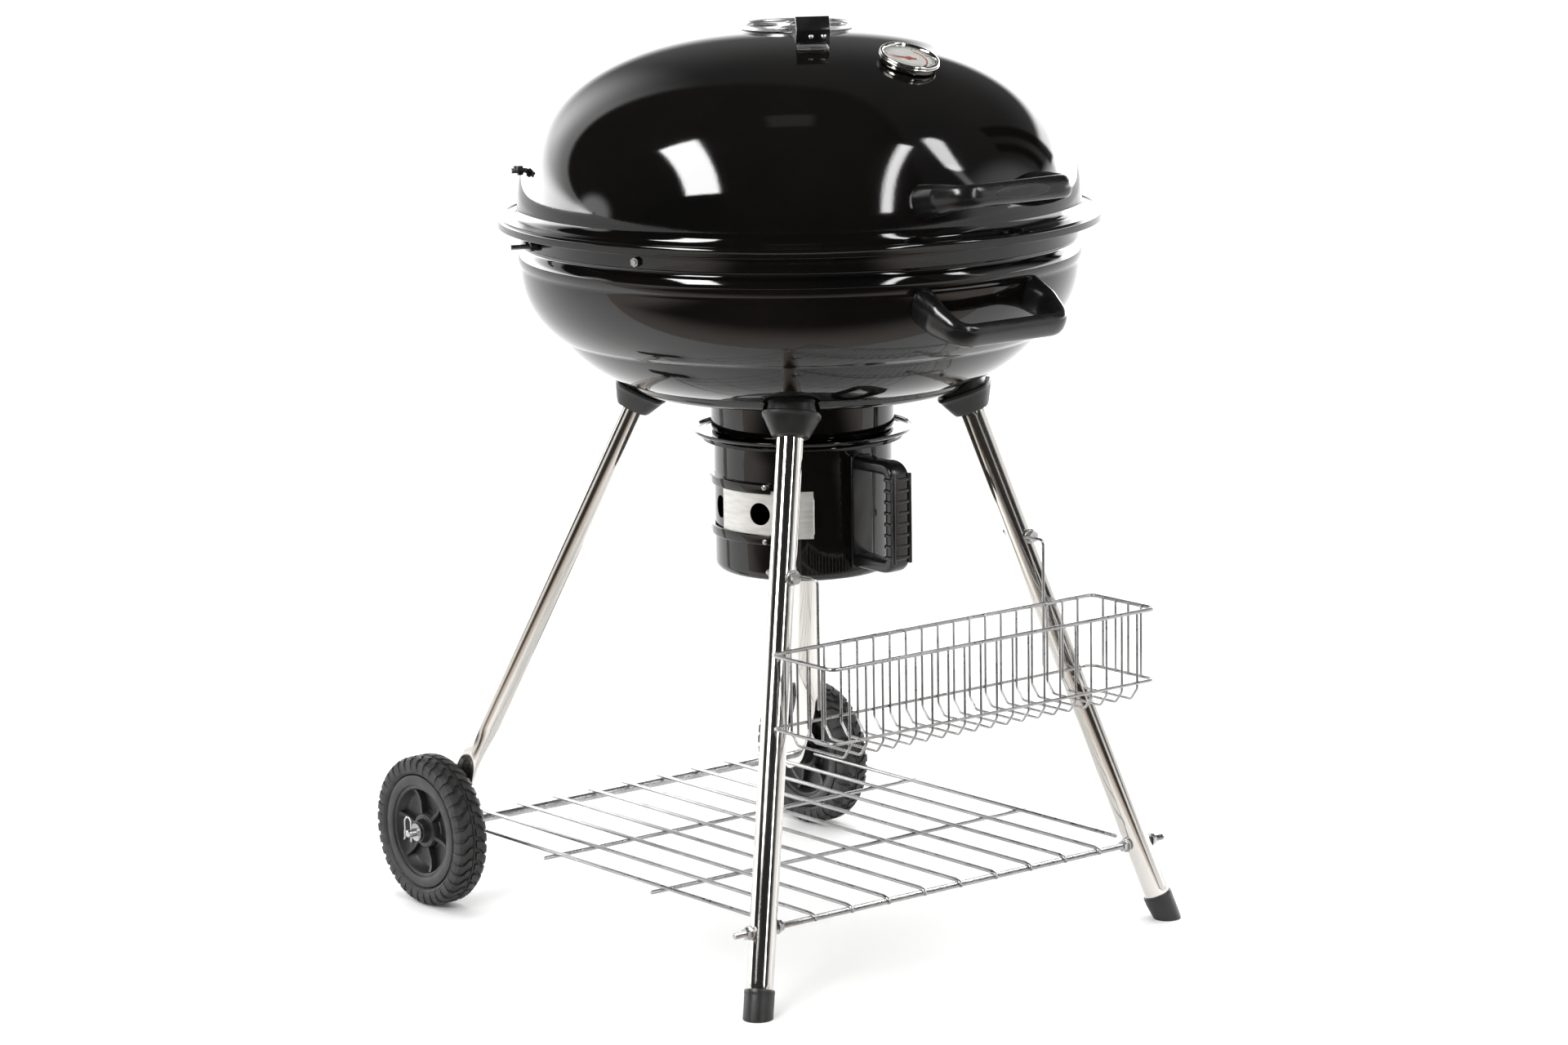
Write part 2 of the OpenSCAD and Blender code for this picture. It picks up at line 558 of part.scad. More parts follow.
// A black cup under the bowl holds the top of each leg.
module leg_sockets() color(black_plastic) place() difference() {
    for (sx = [-1, 1], sy = [-1, 1]) leg_axis(sx, sy) translate([0, 0, -13]) cylinder(r1 = 18, r2 = 30, h = 34, $fn = 48);
    for (sx = [-1, 1], sy = [-1, 1])
        rod(on_leg(sx, sy, socket_z - 60), on_leg(sx, sy, socket_z + 8 + fit), leg_d + 2 * fit, 48);
    corners() cylinder(d = 6.4, h = 40, $fn = 32);
    bowl_space(fit);
}
module leg_inserts() color(black_plastic) place() for (sx = [-1, 1], sy = [-1, 1]) leg_axis(sx, sy) difference() {
    translate([0, 0, -22]) cylinder(d = leg_d - 2 * leg_wall - 2 * run, h = 24, $fn = 48);
    translate([0, 0, -30]) cylinder(d = 6 + 2 * run, h = 40, $fn = 32);
}
module socket_bolts() color(zinc) place() for (sx = [-1, 1], sy = [-1, 1]) leg_axis(sx, sy) {
    translate([0, 0, -20]) cylinder(d = 6, h = 45, $fn = 32);
    translate([0, 0, 23]) cylinder(d = 14, h = 3, $fn = 32);
}

// Each cap is a tilted cup round the tube's end, on a level puck.
module foot_caps() color(black_plastic) place() for (sx = [-1, 1]) difference() {
    union() {
        rod(on_leg(sx, -1, 5.5), on_leg(sx, -1, foot_cap_h), foot_cap_d, 48);
        translate([sx * foot_x, -foot_y, 0]) cylinder(d = foot_cap_d - 3.5, h = 8, $fn = 48);
    }
    rod(on_leg(sx, -1, foot_floor - fit), on_leg(sx, -1, foot_cap_h + 10), leg_d + 2 * run, 48);
}
module axle_spacers() color(black_plastic) place() for (sx = [-1, 1]) difference() {
    union() {
        translate([sx * (flat_x + flat_t / 2 + fit + 1.4), axle_back, wheel_r]) rotate([0, 90, 0])
            cylinder(d = 24, h = 2.8, center = true, $fn = 48);
        translate([sx * (flat_x + flat_t / 2 + fit + 1.4), axle_back - 4, wheel_r + 32])
            cube([2.8, 22, 64], center = true);
    }
    rod([sx * wheel_in_x - 20, axle_back, wheel_r], [sx * wheel_in_x + 20, axle_back, wheel_r], axle_d + 0.2, 48);
}
axle_end = track / 2 + wheel_w / 2 + 12;
module axle() color(zinc) place() difference() {
    rod([-axle_end, axle_back, wheel_r], [axle_end, axle_back, wheel_r], axle_d, 48);
    for (sx = [-1, 1]) translate([sx * pin_x, axle_back, wheel_r - 10]) cylinder(d = 2.4, h = 20, $fn = 24);
}
pin_x = axle_end - 5;

// ---- Shelf ----
shelf_z = rod_z + rod_d / 2 + shelf_wire / 2 + fit;
rear_wire_z = wheel_r + axle_d / 2 + shelf_wire / 2 + fit;
shelf_front = -on_leg(1, -1, rod_z)[1];
shelf_half = shelf_pitch * (shelf_count - 1) / 2;
function shelf_at(y) = rear_wire_z + (shelf_z - rear_wire_z) * (axle_back - y) / (axle_back + shelf_front);
cross_wires = [axle_back - 180, -shelf_front + 168];
// The wires rest on the axle and on the front rod. The outermost two stop short of the legs.
module shelf() color(chrome) place() {
    for (i = [0:shelf_count - 1]) {
        x = -shelf_half + i * shelf_pitch;
        outer = i == 0 || i == shelf_count - 1;
        back = outer ? axle_back - 32 : axle_back + 8;
        front = outer ? -shelf_front + 18 : -shelf_front - 8;
        rod([x, back, shelf_at(back)], [x, front, shelf_at(front)], shelf_wire, wire_fn);
    }
    for (y = cross_wires) let(z = shelf_at(y) - shelf_wire + 1.2)
        rod([-shelf_half - 14, y, z], [shelf_half + 14, y, z], shelf_wire, wire_fn);
}
rod_half = on_leg(1, -1, rod_z)[0] + 34;
module shelf_rod() color(zinc) place() rod([-rod_half, -shelf_front, rod_z], [rod_half, -shelf_front, rod_z], rod_d, 32);
// A washer and a nut on each side of each leg.
module shelf_rod_nuts() color(zinc) place() for (sx = [-1, 1], side = [-1, 1])
    translate([sx * on_leg(1, -1, rod_z)[0] + side * (leg_d / 2 + 6.2), -shelf_front, rod_z])
        rotate([0, 90, 0]) difference() {
            union() {
                translate([0, 0, -2.5]) hex(10, 5);
                translate([0, 0, side > 0 ? -3.7 : 2.4]) cylinder(d = 14, h = 1.3, $fn = 32);
            }
            translate([0, 0, -10]) cylinder(d = rod_d + 2 * run, h = 20, $fn = 32);
        }

// ---- Basket ----
hook_at = on_leg(1, -1, hook_z);
basket_back = -on_leg(1, -1, basket_z - basket_h * 0.8)[1] + leg_d / 2 * 1.08 + basket_wire / 2 + fit;
basket_front = basket_back + basket_w;
basket_low = basket_z - 0.79 * basket_h;
basket_floor = basket_z - basket_h;
basket_end = basket_l / 2;
cross_half = floor((basket_end - 8) / basket_pitch);
end_count = 4;
fold = 10;                                      // how far the cross wires' corners lean in
// A wire that runs round the basket at height z.
module hoop(z, t) {
    translate([-basket_end - t / 2, -basket_front - t / 2, z - t / 2]) difference() {
        cube([basket_l + t, basket_w + t, t]);
        translate([t, t, -1]) cube([basket_l - t, basket_w - t, t + 2]);
    }
}
// Half of a cross wire's outline, from its top end to the floor, moved in by w.
function cradle(w) = [[-basket_front - 1 + w, basket_z], [-basket_front - 1 + w, basket_low - 6],
                      [-basket_front + fold + w * 0.6, basket_floor + w]];
function mirrored(p) = [for (q = p) [-basket_front - basket_back - q[0], q[1]]];
module basket() color(chrome) place() {
    t = basket_wire - 0.5;
    hoop(basket_z, basket_wire + 0.5);
    hoop(basket_low, basket_wire);
    for (i = [-cross_half:cross_half]) translate([i * basket_pitch - t / 2, 0, 0]) rotate([90, 0, 90])
        linear_extrude(height = t)
        polygon(concat(cradle(0), reverse(mirrored(cradle(0))), mirrored(cradle(t)), reverse(cradle(t))));
    for (s = [-1, 1], i = [1:end_count])
        translate([s * basket_end - t / 2, -basket_back - basket_w * i / (end_count + 1) - t / 2, basket_low])
        cube([t, t, basket_z - basket_low]);
}
eye_r = bolt_d / 2 + basket_wire / 2 + 2;
hook_head_d = 11;
hook_in = hook_head_d / 2 + basket_wire / 2 + gap;   // from the bolt to the wire that goes down
hook_y = -basket_back + basket_wire + 0.9;
eye_y = hook_at[1] - leg_d / 2 - basket_wire / 2 - 1.5;
module basket_hooks() color(chrome) place() for (s = [-1, 1]) let(x = s * (hook_at[0] - hook_in)) {
    tube_path([[x, hook_y, basket_low + 6], [x, hook_y, hook_z], [x, eye_y, hook_z]], basket_wire, 16);
    translate([s * hook_at[0], eye_y, hook_z]) rotate([90, 0, 0])
        rotate_extrude($fn = 48) translate([eye_r, 0]) circle(d = basket_wire, $fn = 16);
}
module hook_bolts() color(zinc) place() for (s = [-1, 1]) translate([s * hook_at[0], eye_y - basket_wire / 2 - 0.2, hook_z]) {
    translate([0, -4, 0]) rotate([-90, 0, 0]) cylinder(d = hook_head_d, h = 4, $fn = 32);
    translate([0, -2, 0]) rotate([-90, 0, 0]) cylinder(d = bolt_d, h = leg_d + 16, $fn = 32);
}
module hook_nuts() color(zinc) place() for (s = [-1, 1])
    translate([s * hook_at[0], hook_at[1] + leg_d / 2 + 1.2, hook_z]) rotate([-90, 0, 0]) difference() {
        hex(8, nut_h);
        translate([0, 0, -1]) cylinder(d = bolt_d + 2 * run, h = nut_h + 2, $fn = 32);
    }

// ---- Grates ----
module grate(r, pitch, rail_at) {
    count = floor((r - 6) / pitch);
    rotate_extrude($fn = round_fn) translate([r - ring_d / 2, 0]) circle(d = ring_d, $fn = 12);
    for (i = [-count:count]) let(y = i * pitch, h = sqrt(pow(r - ring_d / 2, 2) - y * y))
        rod([-h, y, (ring_d - bar_d) / 2 - 0.4], [h, y, (ring_d - bar_d) / 2 - 0.4], bar_d, wire_fn);
    for (s = [-1, 1]) let(h = sqrt(pow(r - ring_d / 2, 2) - rail_at * rail_at))
        rod([s * rail_at, -h, -(ring_d - bar_d) / 2 - 1], [s * rail_at, h, -(ring_d - bar_d) / 2 - 1], bar_d, wire_fn);
}
cook_r = head_in - grate_play;
module cooking_grate() color(chrome) place() translate([0, 0, rest_z + ring_d / 2 + gap]) grate(cook_r, cook_pitch, 95);
coal_r = ledge_r + ledge_w - wall - 1.5;
module charcoal_grate() color("#8b8a88") place() translate([0, 0, ledge_z + wall + ring_d / 2 + 1.6]) grate(coal_r, coal_pitch, 80);

// ---- Ash bucket ----
front_turn = 270;
draught_turns = [68, 107];
plate_from = 33;
plate_to = 101;
module draught(a, r) {
    rotate(front_turn - a) translate([r, 0, draught_z]) rotate([0, 90, 0]) children();
}
module ash_bucket() color(enamel) place() difference() {
    ring_of(concat(
        [[bucket_r - wall, bucket_top], [bucket_r + 11, bucket_top], [bucket_r + 11, bucket_top - 4],
         [bucket_r + 9.8, bucket_top - 4], [bucket_r + 9.8, bucket_top - wall], [bucket_r, bucket_top - wall]],
        arc([bucket_r - 8, bucket_z + 8], 8, 0, -90, 6), [[0, bucket_z], [0, bucket_z + wall]],
        arc([bucket_r - 8, bucket_z + 8], 8 - wall, -90, 0, 6)));
    for (a = draught_turns) draught(a, bucket_r - 8) cylinder(d = draught_d, h = 16, $fn = 48);
    for (z = pail_rivets) translate([0, -bucket_r - 5, z]) rotate([-90, 0, 0]) cylinder(d = 4.2, h = 12, $fn = 24);
}
pail_z = bucket_z + bucket_h / 2;
pail_h = bucket_h - 2 * pail_margin;
pail_rivets = [pail_z - pail_h / 2 + 7, pail_z + pail_h / 2 - 7];
pail_in = sqrt(pow(bucket_r, 2) - pow(pail_w / 2, 2));
module pail_side(top, low, out, corner) {
    polygon(concat([[-pail_in + 8, low], [-pail_in + 8, top]],
                   [for (p = arc([out - corner, top - corner], corner, 90, 0, 6)) [-p[0], p[1]]],
                   [for (p = arc([out - corner, low + corner], corner, 0, -90, 6)) [-p[0], p[1]]]));
}
rib_count = 7;
module bucket_handle() color(black_plastic) place() difference() {
    union() {
        translate([-pail_w / 2, 0, pail_z]) rotate([90, 0, 90]) linear_extrude(height = pail_w)
            pail_side(pail_h / 2, -pail_h / 2, bucket_r + pail_reach - 1.5, 12);
        for (i = [0:rib_count - 1]) translate([0, -bucket_r - pail_reach + 5, pail_z + (i - (rib_count - 1) / 2) * 12.5])
            cube([pail_w + 3, 10, 4], center = true);
    }
    translate([-pail_w, 0, pail_z]) rotate([90, 0, 90]) linear_extrude(height = 2 * pail_w)
        pail_side(pail_h / 2 - 14, -pail_h / 2 + 14, bucket_r + pail_reach - 15, 8);
    translate([0, 0, bucket_z - 5]) cylinder(r = bucket_r + fit, h = bucket_h + 20, $fn = round_fn);
    for (z = pail_rivets) translate([0, -bucket_r - 16, z]) rotate([-90, 0, 0]) cylinder(d = 4.2, h = 20, $fn = 24);
}
module bucket_handle_rivets() color(zinc) place() for (z = pail_rivets) translate([0, -bucket_r, z]) {
    translate([0, -15, 0]) rotate([-90, 0, 0]) cylinder(d = 4, h = 17.6, $fn = 24);
    translate([0, wall + 0.6, 0]) rotate([-90, 0, 0]) cylinder(d = 8, h = 1.4, $fn = 24);
}
plate_in = bucket_r + 0.4;
plate_t = 0.9;
rail_from = 60;
rail_to = 134;
// An arc of the given outline about the axis, from angle a to angle b measured from the front to -X.
module arc_of(a, b) {
    rotate(front_turn - b) rotate_extrude(angle = b - a, $fn = round_fn) children();
}
module damper_rails() color(black_plastic) place() arc_of(rail_from, rail_to) for (s = [-1, 1])
    polygon([for (p = [[bucket_r + 0.1, plate_h / 2 + 0.5], [bucket_r + 0.1, plate_h / 2 + 7], [plate_in + 3, plate_h / 2 + 7],
                       [plate_in + 3, plate_h / 2 - 3], [plate_in + plate_t + 0.4, plate_h / 2 - 3],
                       [plate_in + plate_t + 0.4, plate_h / 2 + 0.5]]) [p[0], draught_z + s * p[1]]]);
module damper_plate() color(aluminium) place() difference() {
    union() {
        arc_of(plate_from, plate_to) translate([plate_in, draught_z - plate_h / 2]) square([plate_t, plate_h]);
        rotate(front_turn - plate_from) translate([plate_in, -plate_t, draught_z - 14]) cube([11, 1.6, 28]);
    }
    draught(draught_turns[0], bucket_r - 2) cylinder(d = draught_d, h = 12, $fn = 48);
}
// Four rivets hold the rails' ends to the bucket.
module rail_rivets() color(zinc) place() for (a = [rail_from + 4, rail_to - 4], s = [-1, 1])
    rotate(front_turn - a) translate([plate_in + 3 + 0.1, 0, draught_z + s * (plate_h / 2 + 3.6)])
        rotate([0, 90, 0]) cylinder(d1 = 5, d2 = 3.6, h = 1, $fn = 24);

// ---- Wheels ----
rim_r = wheel_r - 18;
hub_r = 11;
tread = 22;
module wheel_place(s) {
    translate([s * track / 2, axle_back, wheel_r]) rotate([0, s * 90, 0]) children();
}
module tyre(s) color("#161617") place() wheel_place(s) difference() {
    rotate_extrude($fn = round_fn) polygon([
        [rim_r, -wheel_w / 2 + 4], [rim_r + 6, -wheel_w / 2 + 1], [wheel_r - 6, -wheel_w / 2], [wheel_r - 1.5, -wheel_w / 2 + 4],
        [wheel_r, -wheel_w / 2 + 8], [wheel_r, wheel_w / 2 - 8], [wheel_r - 1.5, wheel_w / 2 - 4],
        [wheel_r - 6, wheel_w / 2], [rim_r + 6, wheel_w / 2 - 1], [rim_r, wheel_w / 2 - 4]]);
    for (i = [0:tread - 1], side = [-1, 1]) rotate((i + side / 4) * 360 / tread)
        translate([wheel_r, 0, side * (wheel_w / 4 + 2)]) rotate([side * 18, 0, 0]) cube([5, 3, wheel_w / 2 - 2], center = true);
}
module tyre_left() tyre(-1);
module tyre_right() tyre(1);
spokes = 6;
module wheel(s) color(black_plastic) place() wheel_place(s) difference() {
    union() {
        rotate_extrude($fn = round_fn) polygon([
            [hub_r - 1, -2], [rim_r - 8, -2], [rim_r - 5, -wheel_w / 2 + 5], [rim_r - fit, -wheel_w / 2 + 4],
            [rim_r - fit, wheel_w / 2 - 4], [rim_r - 4, wheel_w / 2 - 3], [rim_r - 8, 3], [hub_r - 1, 2]]);
        translate([0, 0, -wheel_w / 2 + 1]) cylinder(r = hub_r, h = wheel_w - 2, $fn = 48);
        for (i = [0:spokes - 1]) rotate(i * 360 / spokes) translate([hub_r - 1, -2.5, -12]) cube([rim_r - 7 - hub_r, 5, 22]);
    }
    translate([0, 0, -wheel_w]) cylinder(d = axle_d + 2 * run, h = 2 * wheel_w, $fn = 48);
}
module wheel_left() wheel(-1);
module wheel_right() wheel(1);
module wheel_washers() color(zinc) place() for (s = [-1, 1]) translate([s * (track / 2 + wheel_w / 2 + 1), axle_back, wheel_r])
    rotate([0, 90, 0]) difference() {
        cylinder(d = 18, h = 1.4, center = true, $fn = 48);
        cylinder(d = axle_d + 0.2, h = 10, center = true, $fn = 48);
    }
module split_pins() color(zinc) place() for (s = [-1, 1]) translate([s * pin_x, axle_back, wheel_r]) {
    translate([0, 0, -9]) cylinder(d = 2, h = 20, $fn = 24);
    translate([0, 0, 13.6]) rotate([0, 90, 0]) rotate_extrude($fn = 32) translate([3.2, 0]) circle(d = 2, $fn = 16);
}

lid_shell();
lid_handle();
lid_handle_bolts();
thermometer_case();
thermometer_dial();
thermometer_needle();
thermometer_lens();
thermometer_probe();
thermometer_nut();
lid_hook();
lid_hook_wingnut();
vent_rivet();
vent_damper();
vent_grip();
vent_grip_rivets();
bowl_shell();
bowl_handle();
bowl_handle_bolts();
grate_brackets();
grate_bracket_bolts();
lid_peg();
lid_peg_wingnut();
ash_neck();
ash_ring();
leg_front_left();
leg_front_right();
leg_rear_left();
leg_rear_right();
leg_sockets();
leg_inserts();
socket_bolts();
foot_caps();
axle_spacers();
axle();
shelf();
shelf_rod();
shelf_rod_nuts();
basket();
basket_hooks();
hook_bolts();
hook_nuts();
cooking_grate();
charcoal_grate();
ash_bucket();
bucket_handle();
bucket_handle_rivets();
damper_rails();
damper_plate();
rail_rivets();
tyre_left();
wheel_left();
tyre_right();
wheel_right();
wheel_washers();
split_pins();
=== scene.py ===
"""Kettle charcoal grill: the looks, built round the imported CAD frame. Lengths are in metres."""

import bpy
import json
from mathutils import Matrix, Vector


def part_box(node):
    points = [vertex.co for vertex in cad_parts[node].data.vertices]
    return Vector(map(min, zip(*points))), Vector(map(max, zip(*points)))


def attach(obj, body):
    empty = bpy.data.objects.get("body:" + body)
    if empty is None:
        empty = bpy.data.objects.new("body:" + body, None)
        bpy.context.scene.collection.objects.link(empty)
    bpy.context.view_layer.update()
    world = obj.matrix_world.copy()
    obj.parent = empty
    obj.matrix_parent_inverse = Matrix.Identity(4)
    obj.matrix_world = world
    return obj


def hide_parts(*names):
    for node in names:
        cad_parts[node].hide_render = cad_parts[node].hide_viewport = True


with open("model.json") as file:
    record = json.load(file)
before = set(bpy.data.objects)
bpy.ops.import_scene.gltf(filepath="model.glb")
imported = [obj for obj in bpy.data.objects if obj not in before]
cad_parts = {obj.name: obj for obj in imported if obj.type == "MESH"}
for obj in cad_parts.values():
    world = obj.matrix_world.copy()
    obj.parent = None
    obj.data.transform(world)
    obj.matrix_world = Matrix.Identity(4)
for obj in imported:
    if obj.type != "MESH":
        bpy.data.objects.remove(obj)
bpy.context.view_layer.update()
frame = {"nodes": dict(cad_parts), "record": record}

import json
import math

import bmesh
import bpy
from mathutils import Matrix, Vector
from mathutils.bvhtree import BVHTree

MM = 0.001
TAU = 2 * math.pi
X, Y, Z = Vector((1, 0, 0)), Vector((0, 1, 0)), Vector((0, 0, 1))


def span(node):
    """The size of a CAD node's box."""
    low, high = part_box(node)
    return high - low


def middle(node):
    """The middle of a CAD node's box."""
    low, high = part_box(node)
    return (low + high) / 2


# ---- Places, from the frame ----
KETTLE_Y = middle("lid_shell").y
AXIS = Matrix.Translation((0, KETTLE_Y, 0))
WALL = 1.2 * MM
GAP = 0.4 * MM
BRIM_R = span("lid_shell").x / 2
BRIM_DROP = 10 * MM
BRIM_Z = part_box("lid_shell")[0].z + BRIM_DROP
DOME_R = BRIM_R - 19.5 * MM
DOME_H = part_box("lid_shell")[1].z - BRIM_Z
DOME_POWER = 2.35
RIM_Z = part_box("bowl_shell")[1].z
BOWL_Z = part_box("bowl_shell")[0].z
NECK_R = DOME_R - 2.5 * MM


# ---- Outlines: lists of (radius, height) ----
def dome_z(r):
    return BRIM_Z + DOME_H * (1 - (r / DOME_R) ** DOME_POWER) ** (1 / DOME_POWER)


def dome_r(z):
    return DOME_R * (1 - max(0, (z - BRIM_Z) / DOME_H) ** DOME_POWER) ** (1 / DOME_POWER)


def bow(p, q, rise, steps):
    """A curve from p to q that stands out by rise at its middle, without its last point."""
    d = Vector(q) - Vector(p)
    out = Vector((-d.y, d.x)).normalized()
    points = []
    for i in range(steps):
        t = i / steps
        points.append(tuple(Vector(p) + d * t + out * (4 * rise * t * (1 - t))))
    return points


def arc(centre, r, start, end, steps):
    """Points round a centre, from one angle to another in degrees."""
    angles = [math.radians(start + (end - start) * i / steps) for i in range(steps + 1)]
    return [(centre[0] + r * math.cos(a), centre[1] + r * math.sin(a)) for a in angles]


def bend(p, control, q, steps):
    """A smooth bend from p to q, pulled towards control."""
    p, control, q = Vector(p), Vector(control), Vector(q)
    return [tuple(p * (1 - t) ** 2 + control * 2 * t * (1 - t) + q * t * t)
            for t in (i / steps for i in range(steps + 1))]


def inset(line, w):
    """The same outline moved by w to its right-hand side."""
    moved = []
    for i, p in enumerate(line):
        a, b = line[max(i - 1, 0)], line[min(i + 1, len(line) - 1)]
        d = (Vector(b) - Vector(a)).normalized()
        moved.append((p[0] + w * d.y, p[1] - w * d.x))
    return moved


def skin(line, w=WALL):
    """A closed outline of sheet with thickness w."""
    return list(line) + inset(line, w)[::-1]


def oval(w, h, power=2.0, count=24):
    """A ring of flat points from an ellipse, power 2, to nearly a rectangle."""
    points = []
    for i in range(count):
        a = TAU * (i + 0.5) / count
        c, s = math.cos(a), math.sin(a)
        points.append((w / 2 * math.copysign(abs(c) ** (2 / power), c),
                       h / 2 * math.copysign(abs(s) ** (2 / power), s)))
    return points


# ---- Solids: (vertices, faces) ----
def lathe(outline, count=96):
    """Turns a closed outline round Z. Points on the axis become one vertex."""
    verts, rings, faces = [], [], []
    for r, z in outline:
        if r < 1e-6:
            rings.append([len(verts)])
            verts.append((0, 0, z))
            continue
        rings.append(list(range(len(verts), len(verts) + count)))
        verts += [(r * math.cos(TAU * i / count), r * math.sin(TAU * i / count), z) for i in range(count)]
    for k, a in enumerate(rings):
        b = rings[(k + 1) % len(rings)]
        for i in range(count):
            j = (i + 1) % count
            if len(a) > 1 and len(b) > 1:
                faces.append((a[i], a[j], b[j], b[i]))
            elif len(b) > 1:
                faces.append((a[0], b[j], b[i]))
            elif len(a) > 1:
                faces.append((a[i], a[j], b[0]))
    return verts, faces


def loft(rings, closed=False):
    """Joins rings of the same count into a solid."""
    n, faces = len(rings[0]), []
    for k in range(len(rings) if closed else len(rings) - 1):
        a, b = k * n, (k + 1) % len(rings) * n
        faces += [(a + i, a + (i + 1) % n, b + (i + 1) % n, b + i) for i in range(n)]
    verts = [v for ring in rings for v in ring]
    if not closed:
        faces += [tuple(range(n))[::-1], tuple(range(len(verts) - n, len(verts)))]
    return verts, faces


def rounded(points, radius, steps=5, closed=False):
    """The same path with its corners rounded."""
    points = [Vector(p) for p in points]
    n, path = len(points), []
    for i, p in enumerate(points):
        if not closed and i in (0, n - 1):
            path.append(p)
            continue
        a, b = points[i - 1] - p, points[(i + 1) % n] - p
        turn = a.angle(b)
        reach = min(radius / max(math.tan(turn / 2), 0.05), a.length * 0.49, b.length * 0.49)
        start, end = p + a.normalized() * reach, p + b.normalized() * reach
        path += [start * (1 - t) ** 2 + p * 2 * t * (1 - t) + end * t * t
            for t in (k / steps for k in range(steps + 1))]
    return path


ROUND_END = ((0.55, 0.0), (0.85, 0.12), (1.0, 0.4))    # shares of the radius, and how far in they come


def tube(path, radius, sides=12, closed=False):
    """A round wire or tube along a path, with softly rounded ends."""
    path = [Vector(p) for p in path]
    n, rings = len(path), []
    side = None
    for i, p in enumerate(path):
        before = path[i - 1] if closed or i else p
        after = path[(i + 1) % n] if closed or i < n - 1 else p
        way = (after - before).normalized()
        side = side or way.orthogonal()
        side = (side - way * side.dot(way)).normalized()
        up = way.cross(side)
        stations = [(1.0, 0.0)]
        if not closed and i == 0:
            stations = ROUND_END
        elif not closed and i == n - 1:
            stations = [(share, -move) for share, move in ROUND_END[::-1]]
        for share, move in stations:
            centre = p + way * radius * move
            rings.append([centre + (side * math.cos(t) + up * math.sin(t)) * radius * share
                          for t in (TAU * k / sides for k in range(sides))])
    return loft(rings, closed)


def plate(outline, thickness):
    """A flat outline of (x, y), made thick from z = 0 up."""
    rings = [[Vector((x, y, z)) for x, y in outline] for z in (0, thickness)]
    return loft(rings)


def hexagon(across, height):
    """A hexagon nut or head along Z with turned corners."""
    r = across / math.sqrt(3)
    points = []
    for z, share in ((0, 0.93), (height * 0.12, 1.0), (height * 0.88, 1.0), (height, 0.93)):
        points.append([Vector((r * share * math.cos(TAU * i / 6), r * share * math.sin(TAU * i / 6), z))
            for i in range(6)])
    return loft(points)


def thread(radius, height, pitch=0.8 * MM):
    """A threaded stud along Z, as rings that go in and out."""
    outline = [(0, 0), (radius * 0.8, 0)]
    for i in range(int(height / pitch)):
        outline += [(radius * 0.86, i * pitch), (radius, (i + 0.5) * pitch)]
    return lathe(outline + [(radius * 0.8, height), (0, height)], 20)


class Shape:
    """One piece, gathered from closed solids."""

    def __init__(self):
        self.verts, self.faces = [], []

    def add(self, solid, matrix=AXIS):
        base = len(self.verts)
        self.verts += [matrix @ Vector(v) for v in solid[0]]
        self.faces += [[base + i for i in f] for f in solid[1]]
        return self

    def mesh(self, name):
        made = bpy.data.meshes.new(name)
        made.from_pydata(self.verts, [], self.faces)
        work = bmesh.new()
        work.from_mesh(made)
        bmesh.ops.recalc_face_normals(work, faces=work.faces)
        work.to_mesh(made)
        work.free()
        return made

    def piece(self, name, look, body, *nodes, slot=None, bevel=0, crease=38, cut=None):
        """Makes the object, rides it on its body and lets it stand for the CAD nodes it replaces."""
        obj = bpy.data.objects.new(name, self.mesh(name))
        bpy.context.scene.collection.objects.link(obj)
        if cut:
            change(obj, "BOOLEAN", operation="DIFFERENCE", solver="EXACT", object=cut.stand_in())
        if bevel:
            change(obj, "BEVEL", width=bevel, segments=2, limit_method="ANGLE", angle_limit=math.radians(40))
        for face in obj.data.polygons:
            face.use_smooth = True
        obj.data.set_sharp_from_angle(angle=math.radians(crease))
        obj.data.materials.clear()
        obj.data.materials.append(look)
        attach(obj, body)
        if nodes:
            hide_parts(*nodes)
        return obj

    def tree(self):
        """The solid for finding where things land on it."""
        return BVHTree.FromPolygons(self.verts, self.faces)

    def stand_in(self):
        """A hidden object for cutting."""
        obj = bpy.data.objects.new("cutter", self.mesh("cutter"))
        bpy.context.scene.collection.objects.link(obj)
        return obj


def change(obj, kind, **settings):
    """Adds a modifier and applies it."""
    modifier = obj.modifiers.new(kind, kind)
    for key, value in settings.items():
        setattr(modifier, key, value)
    bpy.context.view_layer.update()
    made = bpy.data.meshes.new_from_object(obj.evaluated_get(bpy.context.evaluated_depsgraph_get()))
    obj.modifiers.clear()
    obj.data = made
    tool = settings.get("object")
    if tool:
        bpy.data.objects.remove(tool)


